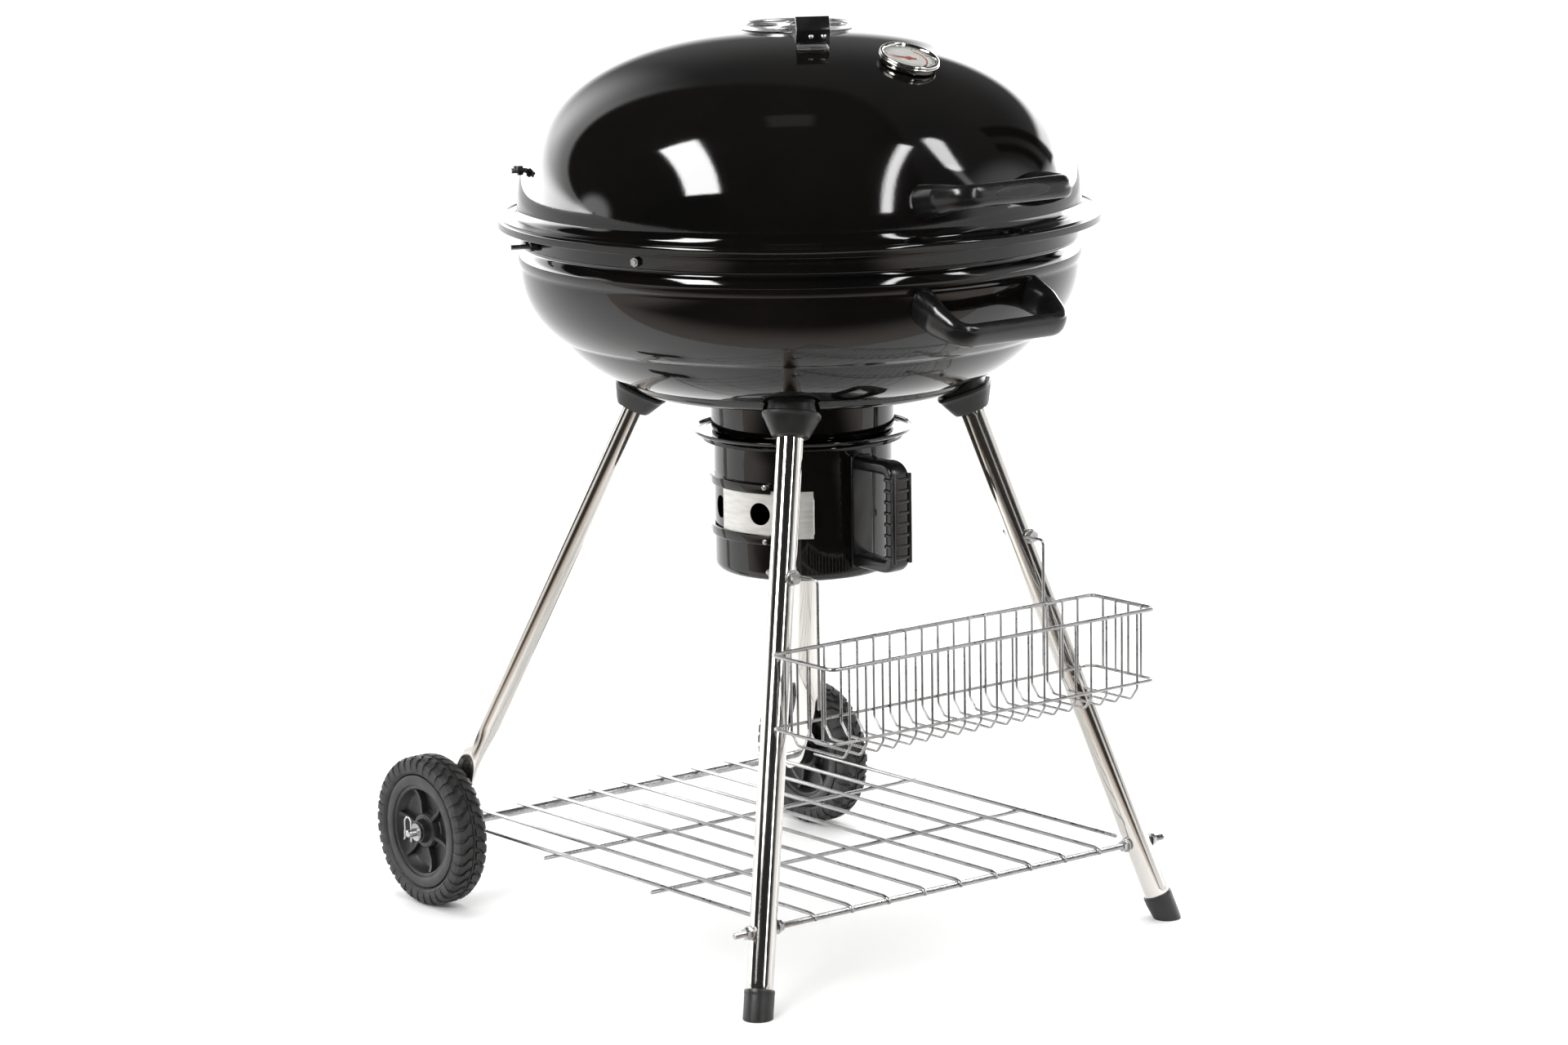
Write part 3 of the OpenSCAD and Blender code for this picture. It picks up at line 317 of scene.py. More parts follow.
# ---- Materials ----
def surface(name, colour, roughness, metallic=0.0, second=None, spread=0.3, patch=18.0,
            rough_spread=0.08, grain=900.0, grain_depth=0.02, coat=0.0, stretch=(1, 1, 1), ior=1.5):
    """A material whose colour drifts between two shades, with smudged gloss and a fine surface grain."""
    look = bpy.data.materials.new(name)
    look.use_nodes = True
    nodes, links = look.node_tree.nodes, look.node_tree.links
    shader = nodes["Principled BSDF"]
    shader.inputs["Metallic"].default_value = metallic
    shader.inputs["IOR"].default_value = ior
    shader.inputs["Coat Weight"].default_value = coat
    shader.inputs["Coat Roughness"].default_value = 0.03
    place = nodes.new("ShaderNodeTexCoord")
    scale = nodes.new("ShaderNodeMapping")
    scale.inputs["Scale"].default_value = stretch
    links.new(place.outputs["Object"], scale.inputs["Vector"])

    def noise(size, detail):
        made = nodes.new("ShaderNodeTexNoise")
        made.inputs["Scale"].default_value = size
        made.inputs["Detail"].default_value = detail
        links.new(scale.outputs["Vector"], made.inputs["Vector"])
        return made.outputs["Fac"]

    def ramp(source, low, high, start=0.35, end=0.65):
        made = nodes.new("ShaderNodeMapRange")
        made.inputs["From Min"].default_value = start
        made.inputs["From Max"].default_value = end
        made.inputs["To Min"].default_value = low
        made.inputs["To Max"].default_value = high
        links.new(source, made.inputs["Value"])
        return made.outputs["Result"]

    mix = nodes.new("ShaderNodeMix")
    mix.data_type = "RGBA"
    mix.inputs["A"].default_value = (*colour, 1)
    mix.inputs["B"].default_value = (*(second or [c * 0.8 for c in colour]), 1)
    links.new(ramp(noise(patch, 6), 0, spread), mix.inputs["Factor"])
    links.new(mix.outputs["Result"], shader.inputs["Base Color"])
    links.new(ramp(noise(patch * 2.3, 5), roughness, roughness + rough_spread), shader.inputs["Roughness"])
    bump = nodes.new("ShaderNodeBump")
    bump.inputs["Strength"].default_value = grain_depth
    bump.inputs["Distance"].default_value = 0.001
    links.new(noise(grain, 3), bump.inputs["Height"])
    links.new(bump.outputs["Normal"], shader.inputs["Normal"])
    return look


ENAMEL = surface("glossy_enamel", (0.0022, 0.0021, 0.002), 0.04, second=(0.0046, 0.0038, 0.0033), spread=0.8,
                 patch=9, rough_spread=0.03, grain=260, grain_depth=0.012)
HANDLE_PLASTIC = surface("handle_plastic", (0.0045, 0.0045, 0.0047), 0.15, second=(0.009, 0.009, 0.009), spread=0.7,
                         patch=30, rough_spread=0.1, grain=1900, grain_depth=0.06)
SATIN_PLASTIC = surface("satin_plastic", (0.006, 0.006, 0.0062), 0.36, second=(0.012, 0.0118, 0.0115), spread=0.8,
                        patch=40, rough_spread=0.14, grain=2600, grain_depth=0.14)
RUBBER = surface("tyre_rubber", (0.0065, 0.0065, 0.0067), 0.48, second=(0.022, 0.021, 0.0195), spread=0.65,
                 patch=60, rough_spread=0.2, grain=1500, grain_depth=0.3)
CHROME_TUBE = surface("chrome_tube", (0.72, 0.7, 0.67), 0.07, 1.0, second=(0.6, 0.575, 0.53), spread=0.6,
                      patch=7, rough_spread=0.07, grain=420, grain_depth=0.02, stretch=(1, 1, 0.3))
CHROME_WIRE = surface("chrome_wire", (0.42, 0.42, 0.425), 0.24, 1.0, second=(0.28, 0.275, 0.27), spread=0.7,
                      patch=30, rough_spread=0.14, grain=900, grain_depth=0.05)
ZINC = surface("zinc_plating", (0.5, 0.505, 0.51), 0.24, 1.0, second=(0.36, 0.36, 0.35), spread=0.8,
               patch=120, rough_spread=0.18, grain=1400, grain_depth=0.08)
GRATE_STEEL = surface("grate_steel", (0.42, 0.41, 0.4), 0.32, 1.0, second=(0.2, 0.17, 0.15), spread=0.75,
                      patch=25, rough_spread=0.2, grain=700, grain_depth=0.16)
ALUMINIUM = surface("pressed_aluminium", (0.55, 0.55, 0.55), 0.24, 1.0, second=(0.38, 0.38, 0.38), spread=0.5,
                    patch=24, rough_spread=0.12, grain=900, grain_depth=0.06)
SLIDER = surface("slider_steel", (0.66, 0.655, 0.63), 0.42, 0.85, second=(0.5, 0.49, 0.47), spread=0.6,
                 patch=45, rough_spread=0.14, grain=1300, grain_depth=0.07, stretch=(1, 1, 6))
DIAL = surface("dial_face", (0.82, 0.81, 0.77), 0.45, second=(0.7, 0.69, 0.64), spread=0.5, patch=60, grain=900)
DIAL_INK = surface("dial_ink", (0.02, 0.02, 0.02), 0.5, second=(0.05, 0.05, 0.05), grain=900)
DIAL_RED = surface("dial_red", (0.55, 0.05, 0.03), 0.4, second=(0.4, 0.04, 0.02), grain=900)


def clear_glass():
    """Thin clear glass with a few smudges."""
    look = surface("clear_glass", (0.97, 0.985, 0.98), 0.015, second=(0.9, 0.93, 0.92), rough_spread=0.03,
                   patch=40, grain=300, grain_depth=0.01)
    look.node_tree.nodes["Principled BSDF"].inputs["Transmission Weight"].default_value = 1.0
    return look


GLASS = clear_glass()
LOOKS = {
    "enamel": ENAMEL, "black_plastic": HANDLE_PLASTIC, "matt_black": SATIN_PLASTIC, "zinc": ZINC,
    "chrome_tube": CHROME_TUBE, "chrome_wire": CHROME_WIRE, "grate_steel": GRATE_STEEL,
    "aluminium": ALUMINIUM, "dial_white": DIAL, "needle_red": DIAL_RED, "glass": GLASS, "tyre": RUBBER,
}


def dress_frame():
    """Gives every CAD node its material and soft edges."""
    slots = {part["node"]: part["material_slot"] for part in frame["record"]["subparts"]}
    for name, obj in frame["nodes"].items():
        obj.data.materials.clear()
        obj.data.materials.append(LOOKS[slots[name]])
        for face in obj.data.polygons:
            face.use_smooth = True
        obj.data.set_sharp_from_angle(angle=math.radians(30))


dress_frame()


# ---- Lid ----
def lid_line():
    """The lid's outside: the dome, a flange with a rolled bead, and the turned-down edge."""
    low = 9 * MM
    steps = 76
    foot_r = dome_r(BRIM_Z + low)
    line = []
    for i in range(steps):
        r = 3.2 * MM + (foot_r - 3.2 * MM) * math.sin(math.pi / 2 * i / steps)
        line.append((r, dome_z(r)))
    flange = DOME_R + 6 * MM
    bead = 3.4 * MM
    bead_at = (BRIM_R - bead, BRIM_Z - bead - 0.1 * MM)
    line += bend((foot_r, BRIM_Z + low), (DOME_R + 0.6 * MM, BRIM_Z + 0.2 * MM), (flange, BRIM_Z - 0.4 * MM), 10)
    line += bend((flange + 4 * MM, BRIM_Z - 1.3 * MM), (flange + 6 * MM, BRIM_Z - 1.7 * MM),
                 (BRIM_R - bead * 1.75, BRIM_Z - 1.2 * MM), 4)
    line += arc(bead_at, bead, 112, 0, 10)
    line += [(BRIM_R, BRIM_Z - 7 * MM), (BRIM_R, BRIM_Z - 8.8 * MM)]
    return line + arc((BRIM_R - 0.6 * MM, BRIM_Z - 9.4 * MM), 0.6 * MM, 0, -90, 3)


def around(angle, r, z=0.0):
    """A place on the kettle's axis frame: turned by angle in degrees, then moved out by r and up by z."""
    return AXIS @ Matrix.Rotation(math.radians(angle), 4, "Z") @ Matrix.Translation((r, 0, z))


def rod_solid(radius, low, high, count=32):
    """A plain round solid along Z, for cutting."""
    return lathe([(0, low), (radius, low), (radius, high), (0, high)], count)


VENT_HOLES = [45 + 90 * i for i in range(4)]
VENT_HOLE_AT = 31 * MM
vent_cut = Shape()
for angle in VENT_HOLES:
    vent_cut.add(rod_solid(11 * MM, BRIM_Z + DOME_H - 20 * MM, BRIM_Z + DOME_H + 10 * MM, 40),
        around(angle, VENT_HOLE_AT))
LID = Shape().add(lathe(skin(lid_line()), 224))
LID.piece("lid", ENAMEL, "lid", "lid_shell", slot="enamel", cut=vent_cut)
LID_TREE = LID.tree()


# ---- Bowl ----
def bowl_line():
    """The bowl's outside: neck, double bead, belly, grate ledge, tapered base and flat bottom."""
    def at(r, down):
        return (r, RIM_Z - down * MM)

    body_top = at(NECK_R, 47)
    ledge_top, ledge_low = at(0.236, 115), at(0.229, 120)
    base = at(0.168, 161)
    line = arc((NECK_R - 1.4 * MM, RIM_Z - 2.6 * MM), 2.6 * MM, 90, -50, 8)
    line += [at(NECK_R - 0.2 * MM, 8), at(NECK_R, 14), at(NECK_R, 21)]
    line += bow(at(NECK_R, 23), at(NECK_R, 29), -1.5 * MM, 6)
    line += bow(at(NECK_R + 0.4 * MM, 30), body_top, 2.6 * MM, 14)
    line += bow(body_top, ledge_top, 9 * MM, 30)
    line += bow(ledge_top, ledge_low, -0.9 * MM, 5)
    line += bow(ledge_low, base, 6 * MM, 22)
    line += bend(base, at(0.1635, 170), at(0.153, 170.4), 8)
    return line + [at(0.13, 170.9), (90.6 * MM, BOWL_Z), (88.2 * MM, BOWL_Z)]


BOWL = Shape().add(lathe(skin(bowl_line()), 224))
BOWL.piece("bowl", ENAMEL, "stand", "bowl_shell", slot="enamel")
BOWL_TREE = BOWL.tree()


def land(point, way, shell):
    """Slides a point along a direction until it meets a shell's mesh, and just into it."""
    hit = shell.ray_cast(point - way * 0.05, way)[0]
    return hit + way * 0.4 * MM if hit else point


# ---- Handles ----
LOOP_W = 152 * MM
LOOP_REACH = 56 * MM
GRIP_POWER = 2.25
SLIMMER = 0.06, 0.22        # how much less thick and tall the outer bar is, as shares


def loop_handle(name, node, body, shell, at_r, height, tilt, section, corner):
    """A loop grip: two arms that widen onto the shell and a straight outer bar."""
    origin = Matrix.Translation((0, KETTLE_Y - at_r, height)) @ Matrix.Rotation(math.radians(tilt), 4, "X")
    thick, tall = section
    half = LOOP_W / 2 - thick / 2
    front = -LOOP_REACH + thick / 2
    start = 2 * MM
    corners = [(-half + 2 * MM, start, 0), (-half, -16 * MM, 0), (-half + 5 * MM, front, 0),
               (half - 5 * MM, front, 0), (half, -16 * MM, 0), (half - 2 * MM, start, 0)]
    plain, path = rounded(corners, corner, 9), []
    for a, b in zip(plain, plain[1:]):
        steps = max(1, round((b - a).length / (6 * MM)))
        path += [a.lerp(b, i / steps) for i in range(steps)]
    path.append(plain[-1])
    n, rings = len(path), []
    for i, p in enumerate(path):
        way = (path[min(i + 1, n - 1)] - path[max(i - 1, 0)]).normalized()
        side = way.cross(Z).normalized()
        from_end = min((p - path[0]).length, (p - path[-1]).length)
        flare = max(0.0, 1 - from_end / (42 * MM)) ** 2
        outer = max(0.0, min(1.0, (-p.y - 16 * MM) / (28 * MM)))
        w = thick * (1 + 0.5 * flare - SLIMMER[0] * outer)
        h = tall * (1 + 0.14 * flare - SLIMMER[1] * outer)
        rings.append([origin @ (p + side * x + Z * z) for x, z in oval(w, h, GRIP_POWER, 40)])
    inward = (origin.to_3x3() @ Y).normalized()
    first, last = ([land(v, inward, shell) for v in ring] for ring in (rings[0], rings[-1]))
    Shape().add(loft([first, *rings, last]), Matrix()).piece(
        name, HANDLE_PLASTIC, body, node, slot="black_plastic", crease=50)
    return origin


LID_LOOP_Z = BRIM_Z + 36 * MM
LID_GRIP = 15 * MM, 28 * MM
lid_loop = loop_handle("lid_grip", "lid_handle", "lid", LID_TREE, dome_r(LID_LOOP_Z), LID_LOOP_Z, -9,
    LID_GRIP, 27 * MM)
loop_handle("bowl_grip", "bowl_handle", "stand", BOWL_TREE, NECK_R - 5 * MM, RIM_Z - 63 * MM, 25,
                        (16 * MM, 30 * MM), 27 * MM)


def grip_pad(name, origin, body, section):
    """The soft pad let into the outside of a grip, following its round face."""
    thick, tall = section[0] * (1 - SLIMMER[0]), section[1] * (1 - SLIMMER[1])
    face = -LOOP_REACH + (section[0] - thick) / 2
    rings = []
    for share, rise in ((1.0, -2), (1.0, 0.1), (0.985, 0.32), (0.95, 0.45), (0.5, 0.5), (0.05, 0.5)):
        ring = []
        for x, z in oval(66 * MM, 12 * MM, 2.3, 48):
            level = abs(2 * z * share / tall) ** GRIP_POWER
            back = thick / 2 * (1 - (1 - level) ** (1 / GRIP_POWER))
            ring.append(Vector((x * share, face + back - rise * MM, z * share)))
        rings.append(ring)
    Shape().add(loft(rings), origin).piece(name, SATIN_PLASTIC, body, slot="matt_black")


grip_pad("lid_grip_pad", lid_loop, "lid", LID_GRIP)


# ---- Thermometer ----
GAUGE_AT = 164 * MM
GAUGE_R = 58.5 * MM / 2
slope = math.atan((dome_z(GAUGE_AT - MM) - dome_z(GAUGE_AT + MM)) / (2 * MM))
gauge = (AXIS @ Matrix.Translation((0, -GAUGE_AT, dome_z(GAUGE_AT)))
         @ Matrix.Rotation(slope, 4, "X"))


def mm(points):
    """The same points, from millimetres to metres."""
    return [tuple(c * MM for c in p) for p in points]


def gauge_case():
    r = GAUGE_R / MM
    outline = mm([(3, 0.1), (r - 2.2, 0.1), (r - 1.4, 0.5), (r - 1.2, 1.2), (r - 1.4, 3.6), (r - 1.3, 4.1)])
    outline += arc((GAUGE_R - 1.1 * MM, 5.2 * MM), 1.1 * MM, -60, 75, 6)
    outline += arc((GAUGE_R - 2.2 * MM, 7.2 * MM), 1.7 * MM, 0, 150, 10)
    outline += mm([(r - 4.2, 7.4), (r - 4.6, 6.4), (r - 4.6, 5.6), (r - 3.3, 5.2), (r - 3.3, 1.4), (3, 1.4)])
    Shape().add(lathe(outline, 128), gauge).piece(
        "thermometer_bezel", CHROME_TUBE, "lid", "thermometer_case", slot="chrome_tube")


gauge_case()


def gauge_dial():
    """The face, with a ring of generic marks, two coloured arcs and a needle."""
    lift = Matrix.Translation((0, 0, 3.4 * MM))
    face_r = GAUGE_R - 3.5 * MM
    Shape().add(lathe([(0, 0), (face_r, 0), (face_r, 0.6 * MM), (0, 0.8 * MM)], 96), gauge @ lift).piece(
        "thermometer_face", DIAL, "lid", "thermometer_dial", slot="dial_white")
    marks = Shape()
    count = 31
    for i in range(count):
        long = i % 5 == 0
        start = face_r * (0.78 if long else 0.85)
        w = (0.9 if long else 0.45) * MM
        turn = Matrix.Rotation(math.radians(-225 + 270 * i / (count - 1)), 4, "Z")
        corners = [(start, -w / 2), (face_r * 0.93, -w / 2), (face_r * 0.93, w / 2), (start, w / 2)]
        marks.add(plate(corners, 0.15 * MM), gauge @ Matrix.Translation((0, 0, 4.1 * MM)) @ turn)
    marks.piece("thermometer_marks", DIAL_INK, "lid")
    for name, look, start, end in (("thermometer_warm", DIAL_INK, -170, -60), ("thermometer_hot", DIAL_RED, -58, 40)):
        band = Shape()
        inner, outer = arc((0, 0), face_r * 0.64, start, end, 24), arc((0, 0), face_r * 0.7, start, end, 24)
        rings = []
        for (x0, y0), (x1, y1) in zip(inner, outer):
            rings.append([Vector((x0, y0, 0)), Vector((x1, y1, 0)), Vector((x1, y1, 0.12 * MM)),
                Vector((x0, y0, 0.12 * MM))])
        band.add(loft(rings), gauge @ Matrix.Translation((0, 0, 4.15 * MM)))
        band.piece(name, look, "lid")
    needle = Shape()
    hand = mm([(-7, -1.3), (0, -1.1), (17, -0.45), (20, 0), (17, 0.45), (0, 1.1), (-7, 1.3)])
    aim = gauge @ Matrix.Translation((0, 0, 4.5 * MM)) @ Matrix.Rotation(math.radians(150), 4, "Z")
    needle.add(plate(hand, 0.4 * MM), aim)
    needle.add(lathe(mm([(0, -0.2), (2.7, -0.2), (2.6, 0.5), (1.6, 0.9), (0, 1.0)]), 32), aim)
    needle.piece("thermometer_hand", DIAL_RED, "lid", "thermometer_needle", slot="needle_red")
    glass_r = GAUGE_R - 4 * MM
    domed = [(0, 6.1 * MM), (glass_r, 6.1 * MM), (glass_r, 6.7 * MM), (glass_r * 0.7, 7.3 * MM), (0, 7.6 * MM)]
    Shape().add(lathe(domed, 96), gauge).piece("thermometer_glass", GLASS, "lid", "thermometer_lens", slot="glass")


gauge_dial()


# ---- Top damper ----
VENT_Z = BRIM_Z + DOME_H + GAP
VENT_R = 53.5
TAB_ANGLE = 270 - 32
TAB_REACH = 124


def vent_disc():
    """The pressed disc with its rolled rim, four lipped holes and the arm to the tab."""
    lift = Matrix.Translation((0, 0, VENT_Z))
    outline = mm([(3.1, 0), (46, 0), (50.6, -0.2), (52.2, -0.9), (VENT_R, -1.0), (VENT_R, 2.0)])
    outline += arc((52.1 * MM, 2.0 * MM), 1.4 * MM, 15, 165, 8)
    outline += mm([(50.4, 1.7), (49.4, 1.35), (46, 1.2), (18, 1.2), (12, 1.5), (3.1, 1.7)])
    cut = Shape()
    lips = Shape()
    for angle in VENT_HOLES:
        place = around(angle, VENT_HOLE_AT)
        cut.add(rod_solid(12 * MM, VENT_Z - 5 * MM, VENT_Z + 9 * MM, 56), place)
        lips.add(lathe(mm([(11.9, 0.2), (14.6, 1.1), (14.0, 1.45), (13.2, 1.95), (12.5, 2.05), (11.9, 1.7)]),
            56), place @ lift)
    disc = Shape().add(lathe(outline, 128), AXIS @ lift)
    disc.piece("damper_disc", ALUMINIUM, "top_damper", "vent_damper", slot="aluminium", cut=cut)
    lips.piece("damper_hole_lips", ALUMINIUM, "top_damper", slot="aluminium")
    rings = []
    for i in range(14):
        r = 51 + (TAB_REACH - 51) * i / 13
        w = 24 + 6 * (i / 13)
        z = max(dome_z(r * MM) + 1.3 * MM, 0) + (0.5 * MM if i == 0 else 0)
        rings.append([Vector((r * MM, x * MM, z + h * MM)) for x, h in oval(w, 1.4, 6, 24)])
    Shape().add(loft(rings), around(TAB_ANGLE, 0)).piece("damper_arm", ALUMINIUM, "top_damper", slot="aluminium")
    head = mm([(0, 1.6), (7.4, 1.6), (7.4, 2.2), (6.6, 3.2), (4.4, 4.1), (2, 4.5), (0, 4.6)])
    Shape().add(lathe(head, 48), AXIS @ lift).piece(
        "damper_rivet", ZINC, "lid", "vent_rivet", slot="aluminium")


vent_disc()


def bent_strip(points, thickness, width, radius):
    """A strip bent along flat points (x, z), with its width along y."""
    line = [(p.x, p.y) for p in rounded([Vector((x, z, 0)) for x, z in points], radius, 5)]
    outline = inset(line, thickness / 2) + inset(line, -thickness / 2)[::-1]
    rings = [[Vector((x, y, z)) for x, z in outline] for y in (-width / 2, width / 2)]
    return loft(rings)


def vent_tab():
    """The black tab: a foot on the arm, a face that leans out and a face that leans back."""
    r = (TAB_REACH - 7) * MM
    place = around(TAB_ANGLE, r, dome_z(r) + 3.1 * MM)
    points = mm([(-6.5, 3.6), (2.4, 1.5), (7.4, 15), (-1.2, 26.0)])
    Shape().add(bent_strip(points, 2.6 * MM, 32 * MM, 2.2 * MM), place).piece(
        "damper_tab", HANDLE_PLASTIC, "top_damper", "vent_grip", slot="matt_black", bevel=0.5 * MM)
    rivets = Shape()
    for y in (-2, 10):
        face = place @ Matrix.Translation((6.3 * MM, y * MM, 8.4 * MM)) @ Matrix.Rotation(math.radians(70), 4, "Y")
        rivets.add(lathe(mm([(0, -1.5), (1.5, -1.5), (1.5, 0.2), (2.4, 0.2), (2.2, 0.8), (1.4, 1.3),
            (0, 1.5)]), 20), face)
    rivets.piece("damper_tab_rivets", ZINC, "top_damper", "vent_grip_rivets", slot="zinc")


vent_tab()


# ---- Ash catcher ----
NECK_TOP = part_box("ash_neck")[1].z
NECK_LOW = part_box("ash_neck")[0].z
RING_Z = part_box("ash_ring")[0].z + 1.5 * MM
BUCKET_LOW, BUCKET_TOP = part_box("ash_bucket")[0].z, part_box("ash_bucket")[1].z
BUCKET_R = 87 * MM
DRAUGHT_Z = middle("damper_plate").z
FRONT = 270


def swing(outline, start, end, steps=24):
    """Part of a turn of an outline, from one angle from the front towards -X to another."""
    rings = []
    for i in range(steps + 1):
        a = math.radians(FRONT - start - (end - start) * i / steps)
        rings.append([Vector((r * math.cos(a), r * math.sin(a), z)) for r, z in outline])
    return loft(rings)


def catcher():
    """The neck under the bowl, the ring round it and the bucket."""
    spigot = 85.4
    neck = [(98.4 * MM, NECK_TOP), (98.4 * MM, NECK_TOP - WALL)]
    neck += bend((94 * MM, NECK_TOP - WALL), (89.4 * MM, NECK_TOP - WALL), (89.4 * MM, NECK_TOP - 6 * MM), 6)
    neck += bend((89.4 * MM, RING_Z + 5 * MM), (89.4 * MM, RING_Z + 1.6 * MM), (spigot * MM, RING_Z + 1.5 * MM), 5)
    neck += [(spigot * MM, NECK_LOW), ((spigot - 1.2) * MM, NECK_LOW), ((spigot - 1.2) * MM, RING_Z + 3 * MM),
             (88.2 * MM, RING_Z + 6 * MM), (88.2 * MM, NECK_TOP - 2 * MM), (92 * MM, NECK_TOP)]
    Shape().add(lathe(neck, 160)).piece("ash_chute", ENAMEL, "stand", "ash_neck", slot="enamel")
    flange = [(85.7 * MM, RING_Z), (100 * MM, RING_Z - 1.2 * MM)]
    flange += bend((103 * MM, RING_Z - 1.4 * MM), (107 * MM, RING_Z - 1.2 * MM), (107.2 * MM, RING_Z + 1.6 * MM), 5)
    flange += arc((106.9 * MM, RING_Z + 2.2 * MM), 1.0 * MM, -40, 190, 8)
    flange += [(105.4 * MM, RING_Z + 1.2 * MM), (102.6 * MM, RING_Z + 0.1 * MM), (99 * MM, RING_Z),
        (86.7 * MM, RING_Z + WALL)]
    flange += [(85.7 * MM, RING_Z + WALL)]
    Shape().add(lathe(flange, 160)).piece("ash_flange", ENAMEL, "stand", "ash_ring", slot="enamel")
    top = BUCKET_TOP
    wall = [(BUCKET_R - WALL, top), (96.8 * MM, top)]
    wall += arc((96.8 * MM, top - 1.2 * MM), 1.2 * MM, 90, 0, 4)
    wall += [(98 * MM, top - 4 * MM), (96.9 * MM, top - 4 * MM), (96.9 * MM, top - 1.6 * MM),
        (89.5 * MM, top - 1.5 * MM)]
    wall += bend((88.6 * MM, top - 1.6 * MM), (BUCKET_R, top - 1.8 * MM), (BUCKET_R, top - 4 * MM), 4)
    corner = 9 * MM
    wall += [(BUCKET_R, top - 20 * MM)]
    wall += arc((BUCKET_R - corner, BUCKET_LOW + corner), corner, 0, -90, 10)
    wall += [(60 * MM, BUCKET_LOW), (57 * MM, BUCKET_LOW + 1.4 * MM), (0, BUCKET_LOW + 1.4 * MM),
        (0, BUCKET_LOW + 2.6 * MM),
             (57 * MM, BUCKET_LOW + 2.6 * MM)]
    wall += arc((BUCKET_R - corner, BUCKET_LOW + corner), corner - WALL, -90, 0, 10)
    cut = Shape()
    for turn in (68, 107):
        hole = around(FRONT - turn, BUCKET_R - 12 * MM, DRAUGHT_Z) @ Matrix.Rotation(math.pi / 2, 4, "Y")
        cut.add(rod_solid(11 * MM, 0, 24 * MM, 48), hole)
    Shape().add(lathe(wall, 160)).piece("bucket", ENAMEL, "ash_bucket", "ash_bucket", slot="enamel", cut=cut)


catcher()


PLATE_FROM, PLATE_TO = 33, 101


def slider():
    """The damper plate that slides between two rails on the bucket."""
    half, low = 23 * MM, DRAUGHT_Z
    r = BUCKET_R + 0.4 * MM
    bands = Shape()
    for s in (-1, 1):
        outline = [(BUCKET_R + 0.1 * MM, low + s * (half + 0.5 * MM)),
            (BUCKET_R + 0.1 * MM, low + s * (half + 7 * MM)),
                   (r + 2.0 * MM, low + s * (half + 7 * MM)), (r + 3.0 * MM, low + s * (half + 6 * MM)),
                   (r + 3.0 * MM, low + s * (half - 2.4 * MM)), (r + 2.4 * MM, low + s * (half - 3 * MM)),
                   (r + 1.3 * MM, low + s * (half - 3 * MM)), (r + 1.3 * MM, low + s * (half + 0.5 * MM))]
        bands.add(swing(outline, 60, 134, 40))
    bands.piece("slider_rails", ENAMEL, "ash_bucket", "damper_rails", slot="matt_black", bevel=0.25 * MM)
    sheet = swing([(r, low - half), (r + 0.9 * MM, low - half), (r + 0.9 * MM, low + half), (r, low + half)],
        PLATE_FROM, PLATE_TO, 32)
    tab = [Vector((r + x * MM, y * MM, 0)) for x,
        y in ((0, 0.4), (4, 0.2), (10.5, -0.2), (10.5, -1.1), (4, -0.8), (0, -0.6))]
    tab_rings = [[p + Z * (low + h) for p in tab] for h in (-17 * MM, 17 * MM)]
    cut = Shape().add(rod_solid(11 * MM, 0, 24 * MM, 48),
                      around(FRONT - 68, BUCKET_R - 12 * MM, low) @ Matrix.Rotation(math.pi / 2, 4, "Y"))
    plate_shape = Shape().add(sheet)
    plate_shape.piece("slider_plate", SLIDER, "ash_damper", "damper_plate", slot="aluminium", cut=cut)
    Shape().add(loft(tab_rings), around(FRONT - PLATE_FROM, 0)).piece(
        "slider_finger", SLIDER, "ash_damper", slot="aluminium", bevel=0.3 * MM)
    rivets = Shape()
    for turn in (64, 130):
        for s in (-1, 1):
            place = around(FRONT - turn, r + 2.9 * MM,
                low + s * (half + 3.6 * MM)) @ Matrix.Rotation(math.pi / 2, 4, "Y")
            rivets.add(lathe(mm([(0, 0), (2.6, 0), (2.4, 0.6), (1.4, 1.05), (0, 1.2)]), 20), place)
    rivets.piece("slider_rivets", ZINC, "ash_bucket", "rail_rivets", slot="zinc")


slider()


